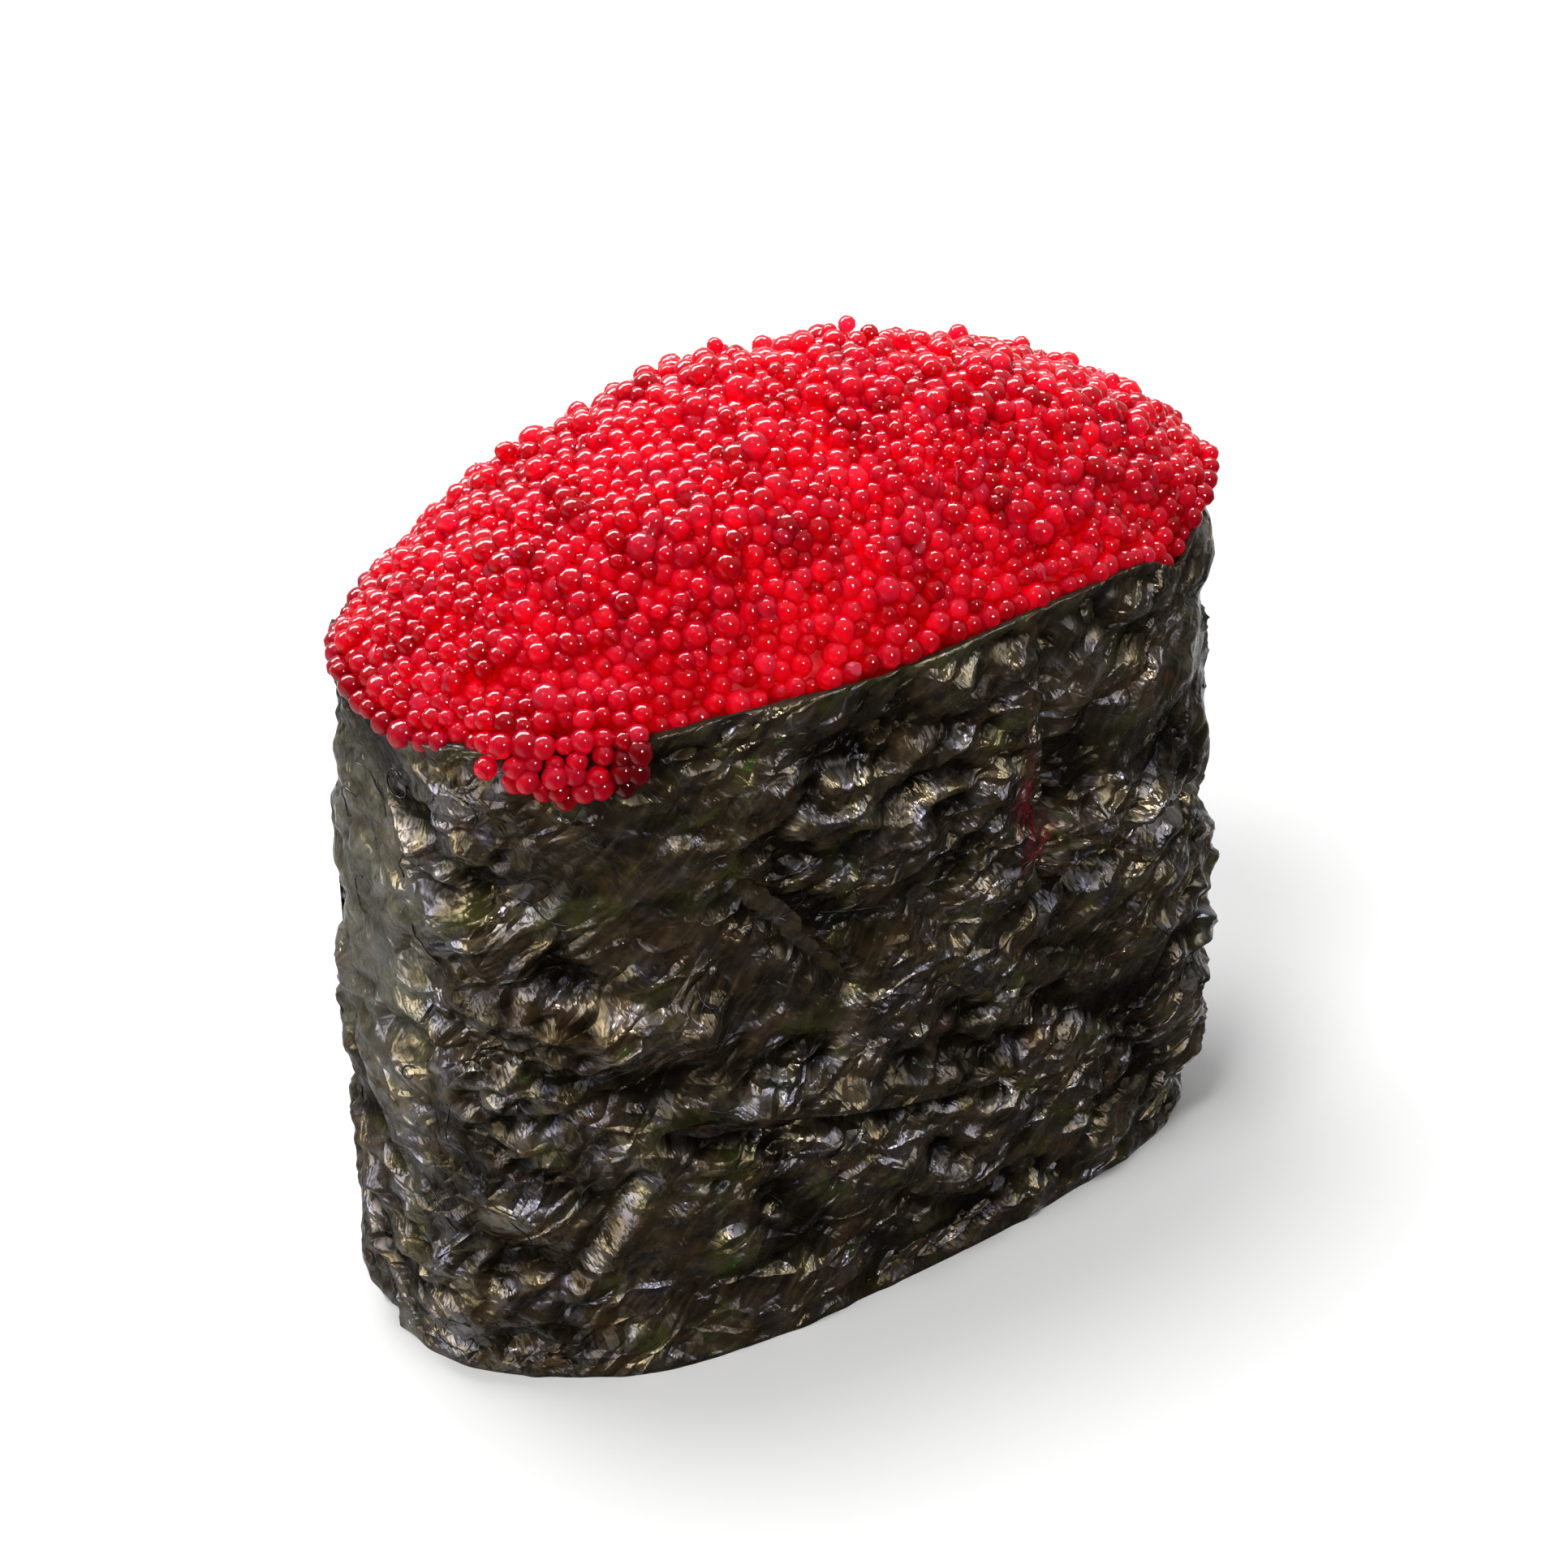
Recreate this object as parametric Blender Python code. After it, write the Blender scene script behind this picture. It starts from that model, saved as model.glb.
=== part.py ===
"""Gunkan sushi: a block of rice wrapped in a strip of nori and topped with red fish roe.

The nori is one strip of dried seaweed, wound once round the rice and a little over itself at
the -X end. It stands above the rice as a rim, and the roe fills the space inside that rim,
domes up over it and spills over it at one place on the -Y side.
A place on the band is given by a distance along its outline, counted from the -X end towards
the back (+Y), a depth in from its outer face, and a height.
"""
import math

import bpy
import bmesh
from mathutils import Vector, noise

# Driving dimensions, in metres
LENGTH = 0.0500
WIDTH = 0.0258
RIM_HEIGHT = 0.0396
MOUND_HEIGHT = 0.0112
CORNER_POWER = 2.57

# The nori strip: its thickness with its creases, and where it laps over itself
SHEET = 0.0010
SHEET_EDGE = 0.0004
EDGE_TAPER = 0.0050
LAP_START = -0.0120
LAP_GAP = 0.0003
LAP_RAMP = 0.0080
LAP_COVER = 1.5
FLAP_FOOT = -0.0008
FLAP_LEAN = 0.0088
FLAP_LEAN_HEIGHT = 0.0150
END_TUCK = 0.0004
END_REACH = 0.0090
TUCK_HEIGHT = 0.0040

# The filling
GAP = 0.0004
RICE_HEIGHT = 0.0290
RICE_LUMPS = 0.0006
RICE_LUMP_SEED = 7.0
FOOT_ROUNDING = 0.0006
FOOT_FLAT = 0.6
RICE_LEVELS = (0.0, 0.05, 0.12, 0.30, 0.50, 0.70, 0.90)
RICE_TOP_SCALES = (0.95, 0.70, 0.40)
ROE_FLOOR = 0.0300
ROE_FLOOR_SCALE = 0.5
ROE_SIDE_LEVELS = (0.0, 0.45, 0.9)
MOUND_SCALES = (1.0, 0.97, 0.93, 0.87, 0.80, 0.71, 0.61, 0.49, 0.36, 0.20)
MOUND_POWER = 2.42
MOUND_LUMPS = 0.0005
MOUND_LUMP_SEED = 3.0
MOUND_LUMP_FADE = 0.2
LUMP_SIZE = 0.0045
LIP_CLEARANCE = 0.0004
LIP_RISE = 0.0003
FRONT_INSET = 0.0006
END_OVERHANG = 0.0006
SHOULDER = 0.0500
SHOULDER_REACH = 0.0140
SHOULDER_DROP = 0.22

# Mesh fineness
OUTLINE_STEPS = 1440
STRIP_COLUMNS = 74
STRIP_ROWS = 17
ROE_COLUMNS = 64
RICE_COLUMNS = 44
SPILL_SIDES = 12

# Waves all over the band, and its broad swells: distance, height, reach and rise
WAVE = 0.0003
WAVE_SIZE = 0.0085
SWELLS = (
    (0.0720, 0.0180, 0.0110, 0.0006),
    (0.0735, 0.0080, 0.0060, 0.0009),
    (0.1240, 0.0070, 0.0060, 0.0007),
    (0.1120, 0.0190, 0.0060, 0.0006),
    (0.0790, 0.0290, 0.0050, 0.0006),
    (0.0980, 0.0300, 0.0070, 0.0003),
    (0.0850, 0.0010, 0.0070, -0.0006),
    (0.1080, 0.0010, 0.0070, 0.0005),
    (0.0300, 0.0230, 0.0100, 0.0005),
    (0.0500, 0.0110, 0.0080, 0.0005),
)

# Folds of the sheet: a start and an end, each a distance and a height, half width and rise
FOLDS = (
    (0.1098, 0.0151, 0.0892, 0.0104, 0.0010, -0.0006),
    (0.1098, 0.0170, 0.0892, 0.0123, 0.0012, 0.0004),
    (0.1160, 0.0055, 0.1115, 0.0129, 0.0010, -0.0005),
    (0.1241, 0.0255, 0.1189, 0.0206, 0.0013, -0.0008),
    (0.1185, 0.0300, 0.1165, 0.0308, 0.0012, -0.0006),
    (0.1210, 0.0228, 0.1083, 0.0214, 0.0014, 0.0005),
    (0.0844, 0.0231, 0.0720, 0.0220, 0.0014, -0.0008),
    (0.0948, 0.0247, 0.0922, 0.0216, 0.0012, -0.0006),
    (0.0870, 0.0340, 0.0870, 0.0220, 0.0010, -0.0004),
    (0.0180, 0.0290, 0.0420, 0.0250, 0.0012, -0.0006),
    (0.0220, 0.0140, 0.0380, 0.0090, 0.0012, -0.0006),
    (0.0520, 0.0230, 0.0640, 0.0300, 0.0012, -0.0006),
    (0.0080, 0.0200, 0.0140, 0.0100, 0.0012, -0.0005),
    (0.1230, 0.0200, 0.1270, 0.0200, 0.0014, -0.0006),
)

# The rim's rises and dips: distance, reach and height
RIM_WAVES = (
    (0.0765, 0.0022, -0.0018),
    (0.0880, 0.0060, 0.0005),
    (0.1060, 0.0060, 0.0005),
    (0.1240, 0.0030, -0.0006),
    (0.0200, 0.0060, 0.0005),
    (0.0440, 0.0050, -0.0006),
)

# The spill over the rim, from inside the mound to its tip: distance, depth, height, width
SPILL = (
    (0.1136, 0.0060, 0.0425, 0.0060),
    (0.1136, 0.0035, 0.0420, 0.0076),
    (0.1136, 0.0012, 0.0413, 0.0078),
    (0.1138, -0.0006, 0.0403, 0.0074),
    (0.1143, -0.0013, 0.0388, 0.0056),
    (0.1149, -0.0012, 0.0373, 0.0030),
)
SPILL_THICKNESS = 0.0015
SPILL_BEND = 3.0

# Plain colours, linear
NORI_COLOUR = (0.030, 0.026, 0.020, 1.0)
ROE_COLOUR = (0.60, 0.004, 0.012, 1.0)
RICE_COLOUR = (0.83, 0.80, 0.72, 1.0)


def power(value, exponent):
    """Raise a size to a power and keep its sign."""
    return math.copysign(abs(value) ** exponent, value)


def smooth(value):
    """Ease from 0 to 1 as the value goes from 0 to 1."""
    value = min(1.0, max(0.0, value))
    return value * value * (3.0 - 2.0 * value)


def bell(away, reach):
    """Fade from 1 at a place to 0 far from it."""
    return math.exp(-(away / reach) ** 2)


def trace_outline():
    """List the outline's points, each with its distance from the -X end."""
    places = []
    distance = 0.0
    last = None
    for step in range(OUTLINE_STEPS + 1):
        turn = math.pi - 2.0 * math.pi * step / OUTLINE_STEPS
        across = power(math.cos(turn), 2.0 / CORNER_POWER)
        deep = power(math.sin(turn), 2.0 / CORNER_POWER)
        spot = Vector((LENGTH / 2 * across, WIDTH / 2 * deep, 0.0))
        if last is not None:
            distance += (spot - last).length
        places.append((distance, spot))
        last = spot
    return places


OUTLINE = trace_outline()
GIRTH = OUTLINE[-1][0]


def outline_spot(distance):
    """Find the point of the outline at a distance along it."""
    distance %= GIRTH
    low = 0
    high = OUTLINE_STEPS
    while high - low > 1:
        middle = (low + high) // 2
        if OUTLINE[middle][0] <= distance:
            low = middle
        else:
            high = middle
    start, first = OUTLINE[low]
    end, second = OUTLINE[high]
    return first.lerp(second, (distance - start) / (end - start))


def outline_normal(spot):
    """Give the outline's outward direction at one of its points."""
    across = power(2.0 * spot.x / LENGTH, CORNER_POWER - 1.0) / LENGTH
    deep = power(2.0 * spot.y / WIDTH, CORNER_POWER - 1.0) / WIDTH
    return Vector((across, deep, 0.0)).normalized()


def gap_along(one, other):
    """Measure the shorter way along the outline between two distances."""
    away = abs(one - other) % GIRTH
    return min(away, GIRTH - away)


def broad_relief(distance, height):
    """How far the wrapped rice stands out from the plain outline, without creases."""
    spot = outline_spot(distance)
    wave = noise.noise(Vector((spot.x, spot.y, height)) / WAVE_SIZE)
    relief = WAVE * wave
    for place, level, reach, rise in SWELLS:
        away = math.hypot(gap_along(distance, place), height - level)
        relief += rise * bell(away, reach)
    tuck = END_TUCK * bell(gap_along(distance, 0.0), END_REACH)
    return relief - tuck * (1.0 - smooth(height / TUCK_HEIGHT)) ** 2


def crease_relief(distance, height):
    """How far the sheet's own folds rise or sink."""
    distance %= GIRTH
    relief = 0.0
    for start, foot, end, head, width, rise in FOLDS:
        run = Vector((end - start, head - foot))
        place = Vector((distance - start, height - foot))
        share = min(1.0, max(0.0, place.dot(run) / run.length_squared))
        relief += rise * bell((place - run * share).length, width)
    return relief


def rim_height(distance):
    """Height of the nori's uneven top edge."""
    height = RIM_HEIGHT
    for place, reach, rise in RIM_WAVES:
        height += rise * bell(gap_along(distance, place), reach)
    return height


def flap_edge(height):
    """Distance past the outline's start where the strip's outer end is cut, aslant."""
    return FLAP_FOOT + FLAP_LEAN * smooth(height / FLAP_LEAN_HEIGHT)


def lap_share(distance, height):
    """1 where the strip lies under its own outer end, easing to 0 where it comes out."""
    distance = (distance + GIRTH / 2) % GIRTH - GIRTH / 2
    inner_edge = smooth((distance - LAP_START) / SHEET + LAP_COVER)
    past_flap = distance - flap_edge(height) - SHEET
    return inner_edge * (1.0 - smooth(past_flap / LAP_RAMP))


def band_point(distance, depth, height):
    """Turn a distance, a depth and a height on the band into a point."""
    spot = outline_spot(distance)
    outward = outline_normal(spot)
    place = spot + outward * (broad_relief(distance, height) - depth)
    return Vector((place.x, place.y, height))


def edge_share(distance, height):
    """0 at the sheet's bottom and top edges, easing to 1 away from them."""
    return smooth(min(height, rim_height(distance) - height) / EDGE_TAPER)


def sheet_thickness(distance, height):
    """Thickness of the creased sheet, thinner towards its bottom and top edges."""
    return SHEET_EDGE + (SHEET - SHEET_EDGE) * edge_share(distance, height)


def lining_depth(distance, height):
    """Depth of the band's inner face, with the lap's second layer."""
    thick = sheet_thickness(distance, height)
    return thick + (thick + LAP_GAP) * lap_share(distance, height)


def close_grid(grid, wrap):
    """Make a closed solid from two faces of points: the outer grid and the inner one."""
    mesh = bmesh.new()
    outer, inner = ([[mesh.verts.new(point) for point in row] for row in face] for face in grid)
    rows = len(outer)
    columns = len(outer[0])
    last = columns if wrap else columns - 1
    for row in range(rows - 1):
        for column in range(last):
            after = (column + 1) % columns
            for face in (outer, inner):
                mesh.faces.new((face[row][column], face[row][after],
                                face[row + 1][after], face[row + 1][column]))
    for row in (0, rows - 1):
        for column in range(last):
            after = (column + 1) % columns
            mesh.faces.new((outer[row][column], outer[row][after],
                            inner[row][after], inner[row][column]))
    if not wrap:
        for column in (0, columns - 1):
            for row in range(rows - 1):
                mesh.faces.new((outer[row][column], outer[row + 1][column],
                                inner[row + 1][column], inner[row][column]))
    return mesh


def close_stack(rings, bottom, top):
    """Make a closed solid from rings of points, with a middle point at each end."""
    mesh = bmesh.new()
    loops = [[mesh.verts.new(point) for point in ring] for ring in rings]
    for low, high in zip(loops, loops[1:]):
        for column in range(len(low)):
            after = (column + 1) % len(low)
            mesh.faces.new((low[column], low[after], high[after], high[column]))
    for middle, loop in ((bottom, loops[0]), (top, loops[-1])):
        centre = mesh.verts.new(middle)
        for column in range(len(loop)):
            mesh.faces.new((centre, loop[column], loop[(column + 1) % len(loop)]))
    return mesh


def add_object(name, mesh, material):
    """Put a finished mesh in the scene as a smooth object with its material."""
    bmesh.ops.triangulate(mesh, faces=mesh.faces)
    bmesh.ops.recalc_face_normals(mesh, faces=mesh.faces)
    data = bpy.data.meshes.new(name)
    mesh.to_mesh(data)
    mesh.free()
    data.shade_smooth()
    data.set_sharp_from_angle(angle=math.radians(50))
    data.materials.append(material)
    made = bpy.data.objects.new(name, data)
    bpy.context.scene.collection.objects.link(made)
    return made


def make_material(name, colour, roughness):
    """Make a plain, dielectric material."""
    material = bpy.data.materials.new(name)
    material.use_nodes = True
    shader = material.node_tree.nodes["Principled BSDF"]
    shader.inputs["Base Color"].default_value = colour
    shader.inputs["Roughness"].default_value = roughness
    shader.inputs["Metallic"].default_value = 0.0
    return material


def make_nori():
    """Wind the strip: one turn round the rice, with its outer end lapped over its start."""
    outer = []
    inner = []
    for row in range(STRIP_ROWS + 1):
        outer_row = []
        inner_row = []
        for column in range(STRIP_COLUMNS + 1):
            share = column / STRIP_COLUMNS
            level = row / STRIP_ROWS
            end = GIRTH + flap_edge(level * RIM_HEIGHT)
            distance = LAP_START + share * (end - LAP_START)
            top = rim_height(distance)
            height = level * top
            covered = lap_share(distance, height) if share < 0.5 else 0.0
            thick = sheet_thickness(distance, height)
            depth = (thick + LAP_GAP) * covered
            crease = crease_relief(distance, height) * edge_share(distance, height)
            outer_row.append(band_point(distance, depth - crease * (1.0 - covered), height))
            inner_row.append(band_point(distance, depth + thick, height))
        outer.append(outer_row)
        inner.append(inner_row)
    material = make_material("dried seaweed", NORI_COLOUR, 0.35)
    return add_object("nori_band", close_grid((outer, inner), False), material)


def lining_ring(columns, height_of, depth=0.0, scale=1.0):
    """List points just inside the band, drawn in towards the middle by a scale."""
    ring = []
    for column in range(columns):
        distance = GIRTH * column / columns
        height = height_of(distance)
        inset = lining_depth(distance, height) + GAP + depth
        point = band_point(distance, inset, height)
        ring.append(Vector((point.x * scale, point.y * scale, point.z)))
    return ring


def lumpy(point, size, seed):
    """Give a rounded lump's rise at a point, from -1 to 1."""
    return noise.noise(point / size + Vector((seed, 0.0, 0.0)))


def make_rice():
    """Pack the rice block: flat underneath, with a lumpy top under the roe."""
    rings = [lining_ring(RICE_COLUMNS, lambda distance: 0.0, FOOT_ROUNDING, FOOT_FLAT)]
    for level in RICE_LEVELS:
        depth = FOOT_ROUNDING if level == 0.0 else 0.0
        rings.append(lining_ring(RICE_COLUMNS, lambda distance: level * RICE_HEIGHT, depth))
    for scale in RICE_TOP_SCALES:
        ring = lining_ring(RICE_COLUMNS, lambda distance: RICE_HEIGHT, 0.0, scale)
        for point in ring:
            point.z -= RICE_LUMPS * (1.0 - lumpy(point, LUMP_SIZE, RICE_LUMP_SEED)) / 2
        rings.append(ring)
    mesh = close_stack(rings, (0.0, 0.0, 0.0), (0.0, 0.0, RICE_HEIGHT - RICE_LUMPS / 2))
    return add_object("rice_block", mesh, make_material("cooked rice", RICE_COLOUR, 0.45))


def lip_share(distance):
    """1 at the two ends of the band, where the roe lies over the rim, 0 along its sides."""
    end = bell(gap_along(distance, 0.0), END_REACH)
    return max(end, bell(gap_along(distance, GIRTH / 2), END_REACH))


def mound_point(distance, scale):
    """Point of the roe's top, from its lip (scale 1) to its middle (scale 0)."""
    inset = FRONT_INSET - (FRONT_INSET + END_OVERHANG) * lip_share(distance)
    edge = band_point(distance, inset + SHEET_EDGE, rim_height(distance))
    point = Vector((edge.x * scale, edge.y * scale, 0.0))
    drop = SHOULDER_DROP * bell(gap_along(distance, SHOULDER), SHOULDER_REACH)
    rise = MOUND_HEIGHT * (1.0 - drop * scale) * (1.0 - scale ** MOUND_POWER)
    fade = smooth((1.0 - scale) / MOUND_LUMP_FADE)
    rise += MOUND_LUMPS * lumpy(point, LUMP_SIZE, MOUND_LUMP_SEED) * fade
    lip = edge.z + LIP_CLEARANCE + LIP_RISE - RIM_HEIGHT
    point.z = RIM_HEIGHT + rise + lip * scale ** 6
    return point


def make_spill(material):
    """Sweep the tongue of roe that hangs over the rim, kept clear of the nori."""
    rings = []
    for place, (distance, depth, height, width) in enumerate(SPILL):
        steep = math.radians(90.0) * smooth((place - 1) / SPILL_BEND)
        ring = []
        for side in range(SPILL_SIDES):
            turn = 2.0 * math.pi * side / SPILL_SIDES
            along = distance + width / 2 * math.cos(turn)
            out = SPILL_THICKNESS / 2 * math.sin(turn)
            ring.append(band_point(along, depth - out * math.sin(steep),
                                   height + out * math.cos(steep)))
        rings.append(ring)
    middles = [sum(ring, Vector()) / SPILL_SIDES for ring in (rings[0], rings[-1])]
    middles[1].z -= SPILL_THICKNESS / 3
    spill = add_object("spill_shape", close_stack(rings, *middles), material)
    spill.hide_render = True
    spill.display_type = "WIRE"
    return spill


def make_roe():
    """Heap the roe: a plug inside the rim, a domed and lumpy top, and the spill."""
    rings = [lining_ring(ROE_COLUMNS, lambda distance: ROE_FLOOR, 0.0, ROE_FLOOR_SCALE)]
    for level in ROE_SIDE_LEVELS:
        rings.append(lining_ring(
            ROE_COLUMNS,
            lambda distance: ROE_FLOOR + level * (rim_height(distance) - ROE_FLOOR)))
    rings.append(lining_ring(
        ROE_COLUMNS, lambda distance: rim_height(distance) + LIP_CLEARANCE))
    for scale in MOUND_SCALES:
        rings.append([mound_point(GIRTH * column / ROE_COLUMNS, scale)
                      for column in range(ROE_COLUMNS)])
    mesh = close_stack(rings, (0.0, 0.0, ROE_FLOOR), mound_point(0.0, 0.0))
    material = make_material("fish roe", ROE_COLOUR, 0.2)
    roe = add_object("roe_heap", mesh, material)
    union = roe.modifiers.new("spill", "BOOLEAN")
    union.operation = "UNION"
    union.solver = "EXACT"
    union.object = make_spill(material)
    return roe


def main():
    """Clear the scene and build the sushi."""
    for item in list(bpy.data.objects):
        bpy.data.objects.remove(item, do_unlink=True)
    make_nori()
    make_rice()
    make_roe()
    print("girth of the band in mm:", round(GIRTH * 1000, 1))


main()
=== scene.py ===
# %% [markdown]
# # Gunkan sushi
# A gunkan is a hand-pressed block of rice with a strip of nori wound round it. The nori stands
# above the rice as a rim, and small red fish roe is heaped inside that rim. This lesson builds
# the looks of one such piece round a fixed frame: the frame gives the sizes and the places, and
# every cell below makes one part of what the eye sees.

# %% Load the frame
import math

import bpy
import numpy as np
from mathutils import Matrix, Vector
from mathutils.bvhtree import BVHTree


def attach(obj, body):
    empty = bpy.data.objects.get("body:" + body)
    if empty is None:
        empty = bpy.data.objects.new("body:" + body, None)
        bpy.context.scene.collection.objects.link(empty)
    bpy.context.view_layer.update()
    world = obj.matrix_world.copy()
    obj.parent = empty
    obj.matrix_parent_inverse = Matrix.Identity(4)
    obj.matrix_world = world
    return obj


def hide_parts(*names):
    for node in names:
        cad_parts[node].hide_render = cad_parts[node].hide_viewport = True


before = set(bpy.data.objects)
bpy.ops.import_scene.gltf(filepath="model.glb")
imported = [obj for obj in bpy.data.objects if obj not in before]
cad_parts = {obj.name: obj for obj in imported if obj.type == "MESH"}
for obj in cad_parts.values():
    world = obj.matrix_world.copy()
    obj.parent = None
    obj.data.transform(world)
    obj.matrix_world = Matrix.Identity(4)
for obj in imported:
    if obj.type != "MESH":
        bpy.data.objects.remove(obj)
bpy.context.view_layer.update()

print("frame nodes:", sorted(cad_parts))

# %% [markdown]
# ## Units and small tools
# Food is measured in millimetres, while Blender works in metres, so every size below is a
# number times MM. The same few jobs come back in every cell: turning a hex colour to linear
# light, adding a node with its settings and links, and turning a Geometry Nodes result into a
# plain mesh. Each gets one small function. Whatever is random draws from one seeded source.

# %% Units, colours and nodes
MM = 0.001
rng = np.random.default_rng(20)


def colour(code, alpha=1.0):
    """Turn an sRGB hex value into the linear colour that a shader wants."""
    parts = [int(code[place:place + 2], 16) / 255 for place in (1, 3, 5)]
    linear = [part / 12.92 if part <= 0.04045 else ((part + 0.055) / 1.055) ** 2.4
              for part in parts]
    return (*linear, alpha)


def fill(tree, node, inputs):
    """Set each input of a node to a value, or link it to a socket."""
    for name, value in inputs.items():
        if isinstance(value, bpy.types.NodeSocket):
            tree.links.new(value, node.inputs[name])
        else:
            node.inputs[name].default_value = value


def add(tree, kind, settings=None, inputs=None):
    """Add a node. Settings are its properties; inputs hold a value or a socket to link."""
    node = tree.nodes.new(kind)
    for name, value in (settings or {}).items():
        setattr(node, name, value)
    fill(tree, node, inputs or {})
    return node


def maths(tree, operation, first, second=0.0):
    """Combine two numbers and give the socket that holds the answer."""
    return add(tree, "ShaderNodeMath", {"operation": operation}, {0: first, 1: second}).outputs[0]


def start_material(name):
    """Start a material, and give it with its node tree."""
    material = bpy.data.materials.new(name)
    material.use_nodes = True
    return material, material.node_tree


def finish_material(tree, inputs):
    """Set the sockets of a material's shader."""
    fill(tree, tree.nodes["Principled BSDF"], inputs)


# %% Geometry Nodes helpers
def new_tree(name, sizes):
    """Start a Geometry Nodes tree whose named inputs are numbers with a first value."""
    tree = bpy.data.node_groups.new(name, "GeometryNodeTree")
    tree.interface.new_socket(name="Geometry", in_out="INPUT", socket_type="NodeSocketGeometry")
    for label, value in sizes.items():
        socket = tree.interface.new_socket(name=label, in_out="INPUT",
                                           socket_type="NodeSocketFloat")
        socket.default_value = value
    tree.interface.new_socket(name="Geometry", in_out="OUTPUT", socket_type="NodeSocketGeometry")
    return tree, tree.nodes.new("NodeGroupInput"), tree.nodes.new("NodeGroupOutput")


def finish_tree(tree, last, material, out):
    """End a tree with real copies that carry their material."""
    whole = add(tree, "GeometryNodeRealizeInstances", None,
                {"Geometry": last.outputs["Geometry"]})
    dressed = add(tree, "GeometryNodeSetMaterial", None,
                  {"Geometry": whole.outputs["Geometry"], "Material": material})
    tree.links.new(dressed.outputs["Geometry"], out.inputs["Geometry"])


def grow(source, tree, sizes):
    """Run a tree on an object with its sizes set, and keep the result as a plain mesh."""
    modifier = source.modifiers.new(tree.name, "NODES")
    modifier.node_group = tree
    for item in tree.interface.items_tree:
        if item.in_out == "INPUT" and item.name in sizes:
            modifier[item.identifier] = sizes[item.name]
    evaluated = source.evaluated_get(bpy.context.evaluated_depsgraph_get())
    mesh = bpy.data.meshes.new_from_object(evaluated)
    source.modifiers.remove(modifier)
    mesh.name = source.name
    mesh.shade_smooth()
    source.data = mesh
    print(source.name, "has", len(mesh.polygons), "faces")
    return source


def place(name, points, faces=()):
    """Put a mesh of points in the scene, at the origin and with its place in its points."""
    mesh = bpy.data.meshes.new(name)
    mesh.from_pydata(np.asarray(points).tolist(), [], list(faces))
    mesh.update()
    made = bpy.data.objects.new(name, mesh)
    bpy.context.scene.collection.objects.link(made)
    return made


def note(mesh, name, values, kind="FLOAT"):
    """Write a value on every point of a mesh, for a tree or a material to read."""
    field = {"FLOAT": "value", "FLOAT_VECTOR": "vector"}[kind]
    attribute = mesh.attributes.new(name, kind, "POINT")
    attribute.data.foreach_set(field, np.asarray(values, dtype=np.float32).ravel())


# %% [markdown]
# ## The camera
# The piece stands at an angle, with its lapped end on the left and its long side running away
# to the right, and it is seen from well above the table. A long lens keeps the verticals almost
# parallel. The camera comes first, so that every later cell can be checked by eye at once.

# %% Camera
AZIMUTH = math.radians(-33.9)
ELEVATION = math.radians(33.9)
CAMERA_DISTANCE = 300 * MM
LENS = 123.2
SENSOR = 36.0
AIM_ACROSS = 0.25 * MM
AIM_UP = 21.0 * MM

camera_right = Vector((math.cos(AZIMUTH), math.sin(AZIMUTH), 0.0))
camera_back = Vector((math.sin(AZIMUTH) * math.cos(ELEVATION),
                      -math.cos(AZIMUTH) * math.cos(ELEVATION), math.sin(ELEVATION)))
camera_up = camera_back.cross(camera_right)

camera = bpy.data.objects.new("camera", bpy.data.cameras.new("camera"))
camera.data.lens = LENS
camera.data.sensor_width = SENSOR
camera.data.clip_start = 10 * MM
camera.location = (camera_right * AIM_ACROSS + camera_up * AIM_UP
                   + camera_back * CAMERA_DISTANCE)
camera.rotation_mode = "QUATERNION"
camera.rotation_quaternion = camera_back.to_track_quat("Z", "Y")
bpy.context.scene.collection.objects.link(camera)
bpy.context.scene.camera = camera
print("camera stands at", [round(value / MM) for value in camera.location], "mm")

# %% [markdown]
# ## The outline of the band
# Seen from above the band is a superellipse: an oval with fuller corners. A place on it is a
# distance along the outline, counted from the -X end towards the back, with a depth in from
# the outer face and a height. NumPy works out many places at once.

# %% Outline
LENGTH = 50.0 * MM
WIDTH = 25.8 * MM
RIM_HEIGHT = 39.6 * MM
CORNER_POWER = 2.57
OUTLINE_STEPS = 5760


def power(value, exponent):
    """Raise sizes to a power and keep their signs."""
    return np.sign(value) * np.abs(value) ** exponent


turn = np.pi - 2 * np.pi * np.arange(OUTLINE_STEPS + 1) / OUTLINE_STEPS
outline_x = LENGTH / 2 * power(np.cos(turn), 2 / CORNER_POWER)
outline_y = WIDTH / 2 * power(np.sin(turn), 2 / CORNER_POWER)
outline_distance = np.concatenate(
    ([0.0], np.cumsum(np.hypot(np.diff(outline_x), np.diff(outline_y)))))
GIRTH = outline_distance[-1]


def outline(distance):
    """Give the outline's point and outward direction at distances along it."""
    distance = np.mod(distance, GIRTH)
    x = np.interp(distance, outline_distance, outline_x)
    y = np.interp(distance, outline_distance, outline_y)
    across = power(2 * x / LENGTH, CORNER_POWER - 1) / LENGTH
    deep = power(2 * y / WIDTH, CORNER_POWER - 1) / WIDTH
    size = np.hypot(across, deep)
    return x, y, across / size, deep / size


print("girth of the band:", round(GIRTH / MM, 1), "mm")

# %% [markdown]
# ## Swells, folds and the rim
# Wet nori clings to the rice, so the band bulges where the rice does and folds where there is
# sheet to spare. The broad swells and the folds that the eye can follow are listed one by one;
# Geometry Nodes add the small creases later. The rim is a cut edge that rises and dips. All
# numbers in the lists are millimetres. A swell has its place along the outline, its height, its
# reach and its rise. A fold has the place and height of both its ends, its width and its rise.
# A wave of the rim has its place, its reach and its rise. A rise below 0 sinks in.

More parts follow.
